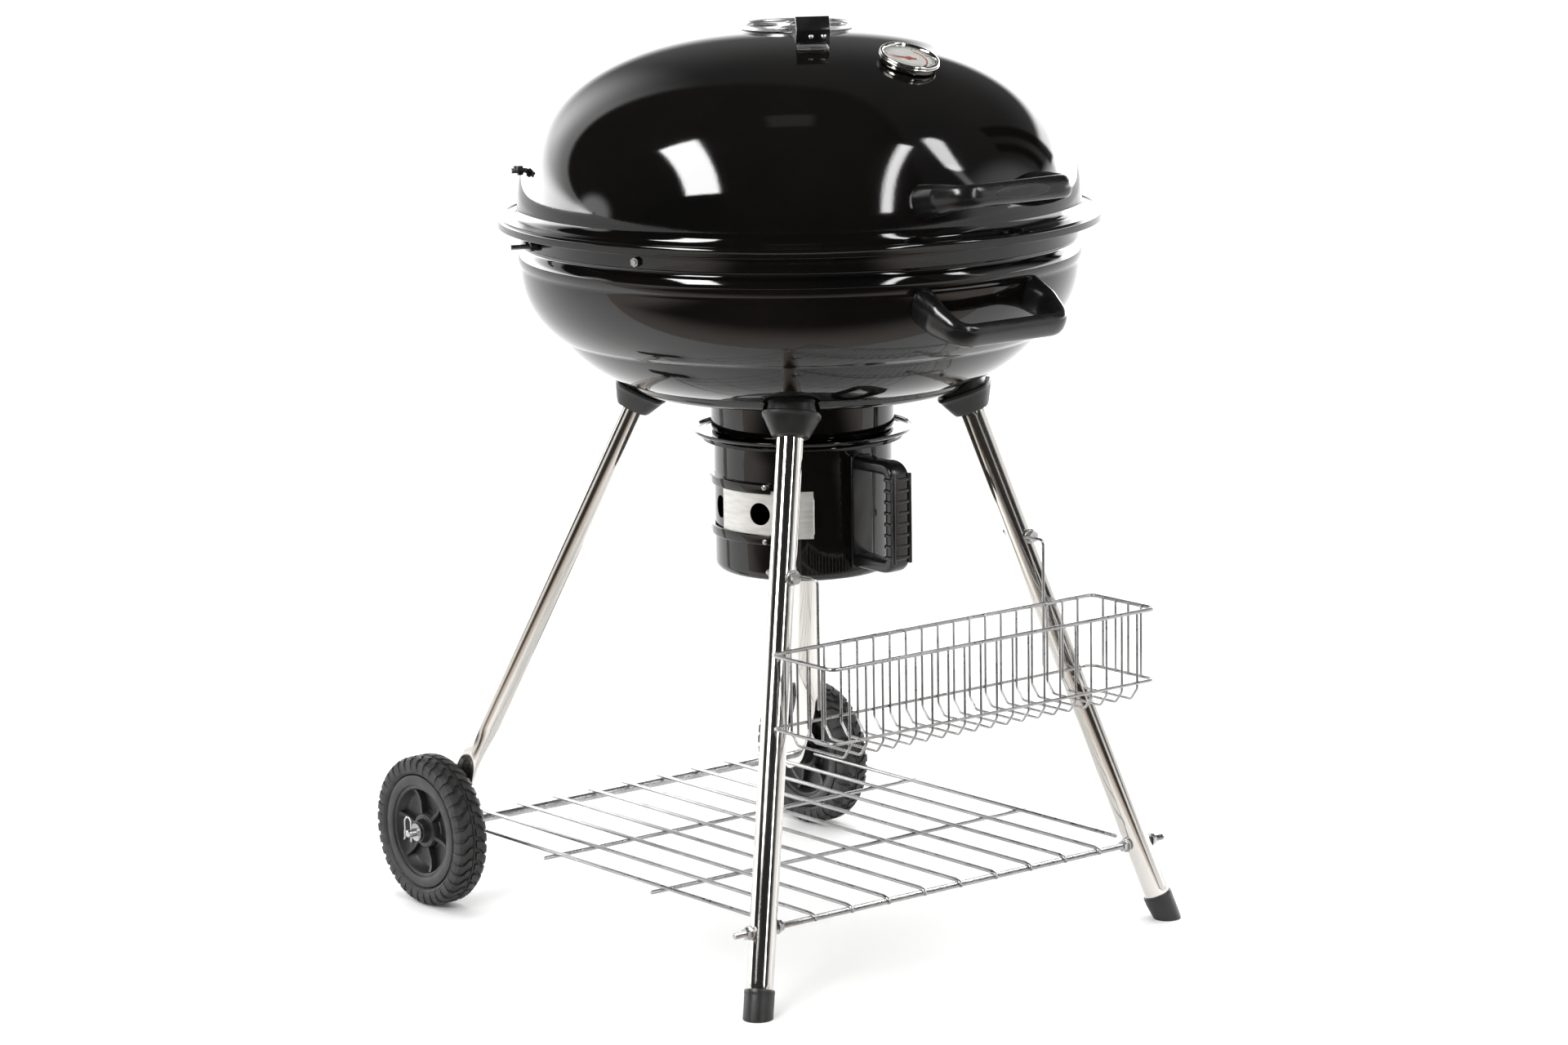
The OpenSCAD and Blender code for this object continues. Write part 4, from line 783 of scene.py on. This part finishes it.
def bucket_grip():
    """The D handle on the bucket, with ribs round its outer bar."""
    mid = middle("bucket_handle").z
    half, out = 48 * MM, -(BUCKET_R + 55 * MM)
    start = -BUCKET_R + 0.5 * MM
    corners = [(0, start, mid + half), (0, out, mid + half), (0, out, mid - half), (0, start, mid - half)]
    plain, path = rounded(corners, 13 * MM, 8), []
    for a, b in zip(plain, plain[1:]):
        steps = max(1, round((b - a).length / (6 * MM)))
        path += [a.lerp(b, i / steps) for i in range(steps)]
    path.append(plain[-1])
    rings = []
    for i, p in enumerate(path):
        way = (path[min(i + 1, len(path) - 1)] - path[max(i - 1, 0)]).normalized()
        side = way.cross(X).normalized()
        rings.append([p + X * x + side * t for x, t in oval(23 * MM, 13 * MM, 4.2, 32)])
    grip = Shape().add(loft(rings))
    for i in range(8):
        z = mid + (i - 3.5) * 10.8 * MM
        rib = []
        for h, share in ((-1.9, 0.9), (-1.4, 0.98), (-0.7, 1.0), (0.7, 1.0), (1.4, 0.98), (1.9, 0.9)):
            rib.append([Vector((x * share, out + y * share, z + h * MM)) for x,
                y in oval(26 * MM, 15.6 * MM, 4.2, 32)])
        grip.add(loft(rib))
    for side in (-1, 1):
        rail = [(side * 10 * MM, out - 6.2 * MM, mid + 44 * MM), (side * 10 * MM, out - 6.2 * MM, mid - 44 * MM)]
        grip.add(tube(rail, 2.1 * MM, 12))
    back = [(BUCKET_R + 0.2 * MM, mid - half - 6 * MM), (BUCKET_R + 3.2 * MM, mid - half - 6 * MM),
            (BUCKET_R + 3.2 * MM, mid + half + 6 * MM), (BUCKET_R + 0.2 * MM, mid + half + 6 * MM)]
    grip.add(swing(back, -8.4, 8.4, 10))
    grip.piece("bucket_grip", HANDLE_PLASTIC, "ash_bucket", "bucket_handle", slot="black_plastic", bevel=0.3 * MM)


bucket_grip()


# ---- Legs ----
SOCKET_Z = BOWL_Z - 13 * MM
WHEEL = {side: middle("wheel_" + side) for side in ("left", "right")}
AXLE_Y, AXLE_Z = WHEEL["left"].y, WHEEL["left"].z
FLAT_X = 222 * MM
LEG_R = 12.7 * MM
LEG_TOP = Vector((111 * MM, 119 * MM, SOCKET_Z))
FRONT_FOOT = Vector((259 * MM, -241 * MM, 0))
REAR_END = Vector((234.6 * MM, AXLE_Y - KETTLE_Y, AXLE_Z))


def on_leg(sx, sy, z):
    """The middle of a leg's tube at a height, from the kettle's axis."""
    low = FRONT_FOOT if sy < 0 else REAR_END
    top = Vector((LEG_TOP.x, LEG_TOP.y * sy, SOCKET_Z))
    p = top.lerp(low, (SOCKET_Z - z) / (SOCKET_Z - low.z))
    return Vector((p.x * sx, p.y, p.z))


def leg_frame(sx, sy):
    """A frame at a leg's top, with Z up along the tube and X outwards."""
    top, low = on_leg(sx, sy, SOCKET_Z), on_leg(sx, sy, 200 * MM)
    up = (top - low).normalized()
    out = Vector((top.x, top.y, 0))
    out = (out - up * out.dot(up)).normalized()
    across = up.cross(out)
    turn = Matrix((out, across, up)).transposed().to_4x4()
    return AXIS @ Matrix.Translation(top) @ turn


def front_leg(sx, name):
    ends = [on_leg(sx, -1, SOCKET_Z + 8 * MM), on_leg(sx, -1, 10 * MM)]
    steps = 24
    path = [ends[0].lerp(ends[1], i / steps) for i in range(steps + 1)]
    Shape().add(tube(path, LEG_R, 64)).piece(name, CHROME_TUBE, "stand", name.replace("tube_", "leg_"),
        slot="chrome_tube")


def rear_leg(sx, name):
    """A tube pressed flat where the axle goes through it."""
    rings, count = [], 64
    start, tip = 184 * MM, AXLE_Z - 15 * MM
    for i in range(12):
        z = SOCKET_Z + 8 * MM + (start - SOCKET_Z - 8 * MM) * i / 12
        rings.append((on_leg(sx, 1, z), 2 * LEG_R, 2 * LEG_R, 2.0))
    steps = 30
    for i in range(steps + 1):
        z = start + (tip - start) * i / steps
        t = max(0.0, min(1.0, (start - z) / (start - 118 * MM)))
        t = t * t * (3 - 2 * t)
        tube_at = on_leg(sx, 1, z)
        flat_at = Vector((sx * FLAT_X, tube_at.y, z))
        end = max(0.0, 1 - (z - tip) / (17 * MM))
        width = 34 * MM * math.sqrt(max(0.03, 1 - end * end))
        rings.append((tube_at.lerp(flat_at, t), 2 * LEG_R + (4 * MM - 2 * LEG_R) * t,
            2 * LEG_R + (width - 2 * LEG_R) * t,
                      2.0 + 1.6 * t))
    solid = [[c + X * x + Y * y for x, y in oval(w, d, power, count)] for c, w, d, power in rings]
    Shape().add(loft(solid)).piece(name, CHROME_TUBE, "stand", name.replace("tube_", "leg_"), slot="chrome_tube")


front_leg(-1, "tube_front_left")
front_leg(1, "tube_front_right")
rear_leg(-1, "tube_rear_left")
rear_leg(1, "tube_rear_right")


CUP_UP = 5


def socket_cups():
    """Black cups that carry the bowl on the tubes. Each top edge follows the bowl."""
    cups = Shape()
    for sx in (-1, 1):
        for sy in (-1, 1):
            place = leg_frame(sx, sy)
            up = place.to_3x3() @ Z
            rings = []
            for z, w, d in ((-14.6, 27, 27), (-15.4, 31, 31), (-15.0, 34, 33), (-13.4, 36.5, 35.5), (-10, 40, 39),
                            (-5, 45, 44), (0, 50, 49), (3.4, 53.5, 52), (4.2, 55.5, 54), (6.6, 55.8, 54.4),
                                (7.6, 54.6, 53.2),
                            (7.8, 52, 51), (6.6, 46, 45)):
                ring = [place @ Vector((x * MM, y * MM, (z + CUP_UP) * MM)) for x, y in oval(d, w, 3.0, 48)]
                ends = [land(v, up, BOWL_TREE) for v in ring]
                rings.append([v if (end - v).dot(up) > 0 else end for v, end in zip(ring, ends)])
            rings.append([land(v - up * 0.02, up, BOWL_TREE) for v in rings[-1]])
            inner = [place @ Vector((x * MM, y * MM, (CUP_UP - 14.6) * MM)) for x, y in oval(25.4, 25.4, 2, 48)]
            cups.add(loft([inner, *rings]), Matrix())
    cups.piece("leg_cups", SATIN_PLASTIC, "stand", "leg_sockets", slot="matt_black", crease=32)


socket_cups()


def foot_cups():
    """A cap on each front foot, flat where it stands."""
    caps = Shape()
    for sx in (-1, 1):
        place = leg_frame(sx, -1)
        low = place.inverted() @ (AXIS @ on_leg(sx, -1, 0))
        outline = [(0, -9), (9, -9), (12, -7.6), (13.6, -5), (14.2, -1.5), (14.25, 20), (14.1, 22), (14.4, 23),
                   (14.4, 25.6), (13.9, 26.6), (12.72, 26.8), (12.72, 12), (0, 12)]
        verts, faces = lathe(mm(outline), 56)
        solid = [place @ (Vector(v) + low) for v in verts]
        solid = [Vector((v.x, v.y, max(v.z, 0))) for v in solid]
        caps.add((solid, faces), Matrix())
    caps.piece("foot_cups", SATIN_PLASTIC, "stand", "foot_caps", slot="matt_black")


foot_cups()


# ---- Wheels ----


def wheel_place(side):
    s = -1 if side == "left" else 1
    return Matrix.Translation(WHEEL[side]) @ Matrix.Rotation(s * math.pi / 2, 4, "Y")


def tread_block(start, pitch, side):
    """One block: up the sidewall, over the shoulder and slanted in to the middle of the tread."""
    route = ((62.0, 16.6, 0), (68.0, 17.6, 0), (73.0, 16.2, 0), (75.4, 12.6, 0), (76.0, 9.4, 0.22), (76.0, 6.2, 0.5),
             (76.0, 2.2, 0.56))
    rings = []
    for i, (r, z, slant) in enumerate(route):
        a = start + pitch * slant
        half = pitch * (0.33 if i < 4 else 0.31)
        down = 2.6 if i > 2 else 2.2
        base_r, base_z = (r - down, z) if i > 3 else (r - 0.5 * down, z - 0.8 * down)
        ring = []
        for turn, rr, zz in ((-half * 1.12, base_r, base_z), (half * 1.12, base_r, base_z),
                             (half * 0.94, r - 0.1, z), (-half * 0.94, r - 0.1, z)):
            ring.append(Vector((rr * math.cos(a + turn), rr * math.sin(a + turn), zz * side)) * MM)
        rings.append(ring)
    return loft(rings)


def wheel(side):
    place = wheel_place(side)
    body = "wheel_" + side
    carcass = [(58, -13.5), (59.5, -15.6), (62, -16.4), (67, -16.7), (71, -15.6), (73.2, -12.4), (73.7, -8),
        (73.8, 0)]
    outline = carcass + [(r, -z) for r, z in carcass[-2::-1]]
    tyre = Shape().add(lathe(mm(outline), 144), place)
    groove = [(60.2, 15.9), (61.4, 16.9), (62.0, 16.6), (62.0, 15.6)]
    for s in (-1, 1):
        tyre.add(lathe(mm([(r, z * s) for r, z in groove]), 144), place)
    count = 38
    for i in range(count):
        for s in (-1, 1):
            tyre.add(tread_block(TAU * (i + s * 0.25) / count, TAU / count, s), place)
    tyre.add(lathe(mm([(73.5, -1.1), (75.2, -0.7), (75.2, 0.7), (73.5, 1.1)]), 144), place)
    tyre.piece("tyre_rubber_" + side, RUBBER, body, "tyre_" + side, slot="tyre", crease=30)
    face = [(57.8, 13.4), (57.0, 15.0), (55.5, 15.4), (48.4, 15.4), (47.4, 14.9), (46.8, 13.6), (45.2, 13.3),
        (44.2, 13.6),
            (43.4, 13.2), (42.4, 11.4), (39.5, 4.6), (38, 3.2), (34, 2.4), (20, 1.6)]
    boss = [(18.6, 2.6), (17.6, 8.6), (16.6, 9.8), (12.6, 10.2), (12.0, 12.2), (11.0, 17.0), (10.4, 17.4),
        (4.2, 17.4)]
    outer = face + boss
    back = [(r, -z) for r, z in outer[::-1]]
    hub = Shape().add(lathe(mm(outer + back), 120), place)
    for i in range(6):
        turn = Matrix.Rotation(TAU * (i + 0.25) / 6, 4, "Z")
        for s in (-1, 1):
            fin = []
            for r, top in ((16, 9.0), (22, 8.6), (30, 7.8), (38, 9.4), (42, 11.6)):
                fin.append([turn @ Vector((r, y, z * s)) * MM for y,
                    z in ((-2.6, 0.5), (2.6, 0.5), (1.8, top), (-1.8, top))])
            hub.add(loft(fin), place)
    hub.piece("wheel_hub_" + side, SATIN_PLASTIC, body, "wheel_" + side, slot="matt_black", crease=32)


for wheel_side in ("left", "right"):
    wheel(wheel_side)


def axle_ends():
    """A sprung hairpin through each end of the axle."""
    pins = Shape()
    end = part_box("axle")[1].x
    for s in (-1, 1):
        x = s * (end - 5 * MM)
        route = [(-6, -9), (-6, 3), (-6, 12), (-3, 15.5), (1, 15.5), (4.6, 12), (4.6, 6), (4.2, 2.6),
            (5.4, -1.5), (4.4, -5.4),
                 (6.6, -8.6)]
        path = [(x, (a + 6) * MM + AXLE_Y, b * MM + AXLE_Z) for a, b in route]
        pins.add(tube(rounded(path, 3 * MM, 5), 1.05 * MM, 10), Matrix())
    pins.piece("hairpins", ZINC, "stand", "split_pins", slot="zinc")
    axle = Shape().add(tube([(-end, AXLE_Y, AXLE_Z), (-end * 0.5, AXLE_Y, AXLE_Z), (end * 0.5, AXLE_Y, AXLE_Z),
                             (end, AXLE_Y, AXLE_Z)], 4 * MM, 32), Matrix())
    axle.piece("axle_rod", ZINC, "stand", "axle", slot="zinc")


axle_ends()


# ---- Shelf ----
ROD_Z = middle("shelf_rod").z
ROD_Y = middle("shelf_rod").y
SHELF_Z = AXLE_Z + 6.2 * MM


def shelf():
    """Eleven long wires that rest on the axle and hook over the front rod, on two cross wires."""
    wires = Shape()
    r = 2 * MM
    for i in range(11):
        x = (i - 5) * 45 * MM
        if i in (0, 10):
            path = [(x, AXLE_Y - 32 * MM, SHELF_Z), (x, ROD_Y + 18 * MM, SHELF_Z)]
        else:
            path = [(x, AXLE_Y + 8 * MM, SHELF_Z), (x, 0, SHELF_Z), (x, ROD_Y + 1 * MM, SHELF_Z),
                    (x, ROD_Y - 5.2 * MM, SHELF_Z - 1.4 * MM), (x, ROD_Y - 7.4 * MM, ROD_Z - 1 * MM)]
        wires.add(tube(rounded(path, 3 * MM, 3), r, 10), Matrix())
    for y in (AXLE_Y - 180 * MM, ROD_Y + 168 * MM):
        wires.add(tube([(-239 * MM, y, SHELF_Z - 3.2 * MM), (0, y, SHELF_Z - 3.2 * MM),
            (239 * MM, y, SHELF_Z - 3.2 * MM)], r, 10),
                  Matrix())
    wires.piece("shelf_wires", CHROME_WIRE, "stand", "shelf", slot="chrome_wire")
    half = span("shelf_rod").x / 2
    stud = Shape()
    stud.add(thread(3 * MM, 2 * half), Matrix.Translation((-half, ROD_Y,
        ROD_Z)) @ Matrix.Rotation(math.pi / 2, 4, "Y"))
    stud.piece("shelf_stud", ZINC, "stand", "shelf_rod", slot="zinc")


shelf()


# ---- Basket ----
def basket():
    """Rim, lower hoop, nineteen bent cross wires and four uprights at each end."""
    low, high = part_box("basket")
    rim_r, hoop_r, wire_r = 1.9 * MM, 1.5 * MM, 1.25 * MM
    x1, y0, y1 = high.x - rim_r, low.y + rim_r, high.y - rim_r
    rim_z = high.z - rim_r
    floor = low.z + wire_r
    hoop_z = rim_z - 70 * MM
    made = Shape()
    for z, r, pull in ((rim_z, rim_r, 0), (hoop_z, hoop_r, 0.4 * MM)):
        x, ya, yb = x1 - pull, y0 + pull, y1 - pull
        loop = rounded([(-x, ya, z), (x, ya, z), (x, yb, z), (-x, yb, z)], 9 * MM, 6, closed=True)
        made.add(tube(loop, r, 12, closed=True), Matrix())
    for i in range(-9, 10):
        x = i * 20 * MM
        ya, yb = y0 + 2.6 * MM, y1 - 2.6 * MM
        top = rim_z + 1.0 * MM
        path = [(x, ya, top), (x, ya, hoop_z - 6 * MM), (x, ya + 9 * MM, floor), (x, yb - 9 * MM, floor),
                (x, yb, hoop_z - 6 * MM), (x, yb, top)]
        made.add(tube(rounded(path, 6 * MM, 4), wire_r, 10), Matrix())
    for s in (-1, 1):
        for i in range(1, 5):
            y = y1 + (y0 - y1) * i / 5
            x = s * (x1 - 2.4 * MM)
            made.add(tube([(x, y, rim_z + 1 * MM), (x, y, hoop_z - 1 * MM)], wire_r, 10), Matrix())
    made.piece("basket_wires", CHROME_WIRE, "stand", "basket", slot="chrome_wire")


basket()


HOOK_IN = 7.4 * MM


def hooks():
    """A wire from an eye round each leg's bolt, forwards and down behind the basket."""
    made = Shape()
    low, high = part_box("basket_hooks")
    r = 1.5 * MM
    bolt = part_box("hook_bolts")
    bolt_x = bolt[1].x - 5.5 * MM
    eye_z = middle("hook_bolts").z
    eye_y = high.y - r
    eye_r = 6 * MM
    back_y = low.y + r
    for s in (-1, 1):
        eye = [(s * bolt_x + eye_r * math.cos(a), eye_y, eye_z + eye_r * math.sin(a))
               for a in (TAU * i / 28 for i in range(28))]
        made.add(tube(eye, r, 10, closed=True), Matrix())
        x = s * (bolt_x - HOOK_IN)
        path = [(x, eye_y + 1 * MM, eye_z), (x, back_y, eye_z + 1 * MM), (x, back_y, low.z + r)]
        made.add(tube(rounded(path, 5 * MM, 6), r, 12), Matrix())
    made.piece("hook_wires", CHROME_WIRE, "stand", "basket_hooks", slot="chrome_wire")


hooks()


# ---- Grates ----
def grate(name, node, look, slot, pitch, bar_r, ring_r, rails):
    """A round grate: ring, parallel bars and two rails under them."""
    low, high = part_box(node)
    r = (high.x - low.x) / 2 - ring_r
    z = low.z + 3.7 * MM
    made = Shape()
    ring = [(r * math.cos(a), KETTLE_Y + r * math.sin(a), z) for a in (TAU * i / 120 for i in range(120))]
    made.add(tube(ring, ring_r, 12, closed=True), Matrix())
    count = int((r - 6 * MM) / pitch)
    for i in range(-count, count + 1):
        y = i * pitch
        half = math.sqrt(r * r - y * y)
        made.add(tube([(-half, y, z + 1 * MM), (0, y, z + 1 * MM), (half, y, z + 1 * MM)], bar_r, 10))
    for s in (-1, 1):
        half = math.sqrt(r * r - rails * rails)
        made.add(tube([(s * rails, -half, z - 1.6 * MM), (s * rails, 0, z - 1.6 * MM),
            (s * rails, half, z - 1.6 * MM)], bar_r, 10))
    made.piece(name, look, node, node, slot=slot)


grate("cooking_wires", "cooking_grate", CHROME_WIRE, "chrome_wire", 18 * MM, 2 * MM, 3 * MM, 95 * MM)
grate("charcoal_wires", "charcoal_grate", GRATE_STEEL, "grate_steel", 24 * MM, 2 * MM, 3 * MM, 80 * MM)


# ---- Studio ----
def plain(name, colour):
    """A plain painted stage material."""
    look = bpy.data.materials.new(name)
    look.use_nodes = True
    shader = look.node_tree.nodes["Principled BSDF"]
    shader.inputs["Base Color"].default_value = (*colour, 1)
    shader.inputs["Roughness"].default_value = 0.7
    return look


def softbox(name, place, target, size, power):
    """A square soft light aimed at a point."""
    data = bpy.data.lights.new(name, "AREA")
    data.shape = "RECTANGLE"
    data.size, data.size_y = size
    data.energy = power
    lamp = bpy.data.objects.new(name, data)
    lamp.location = place
    lamp.rotation_mode = "QUATERNION"
    lamp.rotation_quaternion = (Vector(place) - Vector(target)).to_track_quat("Z", "Y")
    lamp.visible_glossy = False
    bpy.context.scene.collection.objects.link(lamp)
    return lamp


CAMERA_AT = Vector((-2.90397, -3.59686, 1.2779))
CAMERA_TURN, CAMERA_DOWN, CAMERA_ROLL = (math.radians(a) for a in (-38.85, 10.8, -0.88))
LENS = 109.85


def camera():
    a, p, roll = CAMERA_TURN, CAMERA_DOWN, CAMERA_ROLL
    ahead = Vector((-math.sin(a) * math.cos(p), math.cos(a) * math.cos(p), -math.sin(p)))
    flat = Vector((math.cos(a), math.sin(a), 0))
    up = flat.cross(ahead)
    right = flat * math.cos(roll) + up * math.sin(roll)
    top = up * math.cos(roll) - flat * math.sin(roll)
    data = bpy.data.cameras.new("camera")
    data.lens = LENS
    data.sensor_width = 36
    data.clip_end = 60
    obj = bpy.data.objects.new("camera", data)
    turn = Matrix((right, top, -ahead)).transposed().to_4x4()
    obj.matrix_world = Matrix.Translation(CAMERA_AT) @ turn
    bpy.context.scene.collection.objects.link(obj)
    bpy.context.scene.camera = obj


def smooth(x, low, high):
    """0 below low, 1 above high, and a soft step between them."""
    t = max(0.0, min(1.0, (x - low) / (high - low)))
    return t * t * (3 - 2 * t)


def patch(x, y, box, soft):
    """1 inside a box (x0, x1, y0, y1), falling to 0 over the soft width outside it."""
    x0, x1, y0, y1 = box
    inside_x = smooth(x, x0 - soft, x0) * (1 - smooth(x, x1, x1 + soft))
    return inside_x * smooth(y, y0 - soft, y0) * (1 - smooth(y, y1, y1 + soft))


def stroke(x, y, start, end, half, soft):
    """1 along a straight stroke, falling to 0 over the soft width outside it."""
    dx, dy = end[0] - start[0], end[1] - start[1]
    t = max(0.0, min(1.0, ((x - start[0]) * dx + (y - start[1]) * dy) / (dx * dx + dy * dy)))
    return 1 - smooth(math.hypot(x - start[0] - dx * t, y - start[1] - dy * t), half, half + soft)


def room_glow(side, over):
    """How bright the studio is in a direction: degrees to the side of the camera's plane, and degrees from
    the horizon behind the camera, over the top, to the horizon behind the kettle."""
    right = side - 8
    edge = 108 - 0.5 * right if right < 0 else 108 - right - 0.022 * right * right
    glow = 0.1 + 0.12 * smooth(over, 130, 160)
    glow += (1.3 + 2 * smooth(over, edge + 8, edge + 30)) * smooth(-side, 12, 40) * smooth(over, edge, edge + 6)
    glow += 4.5 * smooth(over, 160, 176)
    glow += 2.2 * smooth(-side, 76, 84)
    glow += 0.9 * smooth(side, 62, 76)
    glow += 5 * patch(side, over, (12, 46, 158, 190), 6)
    dark = (1 - smooth(over, edge, edge + 5)) * smooth(side, -84, -78)
    glow = glow * (1 - dark) + 0.026 * dark + 0.25 * patch(side, over, (-7, 3, 80, 88), 2)
    for box, level, soft in (((-43.5, -31.5, 26, 76), 24, 1.8), ((32.6, 35.6, 8, 69), 18, 1.2)):
        glow += level * patch(side, over, box, soft)
    glow += 14 * stroke(side, over, (42, 79), (56, 61), 3.2, 1.6)
    glow += 2 * stroke(side, over, (56, 61), (74, 40), 1.4, 2.4)
    slit = patch(side, over, (47, 51, 112, 166), 2) + patch(side, over, (57, 60, 112, 160), 2)
    return glow * (1 - 0.97 * min(1, slit))


def set_card(name, verts, faces, glows, tint):
    """A stage piece that only reflections see, glowing by its corners' stored brightness."""
    mesh = bpy.data.meshes.new(name)
    mesh.from_pydata(verts, [], faces)
    level = mesh.attributes.new("level", "FLOAT", "POINT")
    level.data.foreach_set("value", glows)
    look = bpy.data.materials.new(name)
    look.use_nodes = True
    tree = look.node_tree
    tree.nodes.clear()
    read = tree.nodes.new("ShaderNodeAttribute")
    read.attribute_name = "level"
    glow = tree.nodes.new("ShaderNodeEmission")
    glow.inputs["Color"].default_value = (*tint, 1)
    out = tree.nodes.new("ShaderNodeOutputMaterial")
    tree.links.new(read.outputs["Fac"], glow.inputs["Strength"])
    tree.links.new(glow.outputs["Emission"], out.inputs["Surface"])
    mesh.materials.append(look)
    obj = bpy.data.objects.new(name, mesh)
    bpy.context.scene.collection.objects.link(obj)
    obj.visible_camera = False
    obj.visible_diffuse = False
    obj.visible_shadow = False


def room():
    """The studio that the enamel and the chrome reflect: dark behind the camera, bright behind the kettle."""
    back = Vector((math.sin(CAMERA_TURN), -math.cos(CAMERA_TURN), 0))
    right = Vector((math.cos(CAMERA_TURN), math.sin(CAMERA_TURN), 0))
    centre = Vector((0, KETTLE_Y, 0.75))
    radius, across, over = 8.0, 178, 188
    verts, glows = [], []
    for i in range(across + 1):
        side = -89 + 178 * i / across
        for j in range(over + 1):
            turn = -4 + 188 * j / over
            a, b = math.radians(side), math.radians(turn)
            verts.append(centre + radius * (math.cos(a) * (math.cos(b) * back + math.sin(b) * Z) + math.sin(a) * right))
            glows.append(room_glow(side, turn))
    step = over + 1
    faces = [(i * step + j, i * step + j + 1, (i + 1) * step + j + 1, (i + 1) * step + j)
             for i in range(across) for j in range(over)]
    set_card("studio_room", verts, faces, glows, (1, 1, 1))
    verts, glows, rows, columns = [], [], 40, 40
    for i in range(rows + 1):
        for j in range(columns + 1):
            out, wide = 0.35 + 7.2 * (i / rows) ** 2, -4.5 + 9 * j / columns
            verts.append(Vector((0, KETTLE_Y, 0.0015)) + back * out + right * wide)
            edge = smooth(abs(wide), 0.9 + 0.25 * out, 1.9 + 0.5 * out)
            near = 1 - smooth(out, 0.38, 0.95)
            glows.append(0.035 + 0.9 * max(edge, near))
    faces = [(i * (columns + 1) + j, i * (columns + 1) + j + 1, (i + 1) * (columns + 1) + j + 1,
        (i + 1) * (columns + 1) + j)
             for i in range(rows) for j in range(columns)]
    set_card("studio_floor_shade", verts, faces, glows, (1, 0.9, 0.82))


def studio():
    world = bpy.data.worlds.new("studio")
    world.use_nodes = True
    world.node_tree.nodes["Background"].inputs["Color"].default_value = (1, 1, 1, 1)
    world.node_tree.nodes["Background"].inputs["Strength"].default_value = 1.1
    bpy.context.scene.world = world
    bpy.context.scene.view_settings.view_transform = "Standard"
    mesh = bpy.data.meshes.new("floor")
    half = 14
    mesh.from_pydata([(-half, -half, 0), (half, -half, 0), (half, half, 0), (-half, half, 0)], [], [(0, 1, 2, 3)])
    floor = bpy.data.objects.new("floor", mesh)
    floor.data.materials.append(plain("floor", (0.93, 0.93, 0.925)))
    bpy.context.scene.collection.objects.link(floor)
    room()
    centre = (0, KETTLE_Y, 0.6)
    softbox("key", (-3.4, -1.6, 2.9), centre, (1.2, 1.2), 45)
    softbox("top", (0.2, 0.4, 3.2), centre, (2.0, 2.0), 60)


camera()
studio()
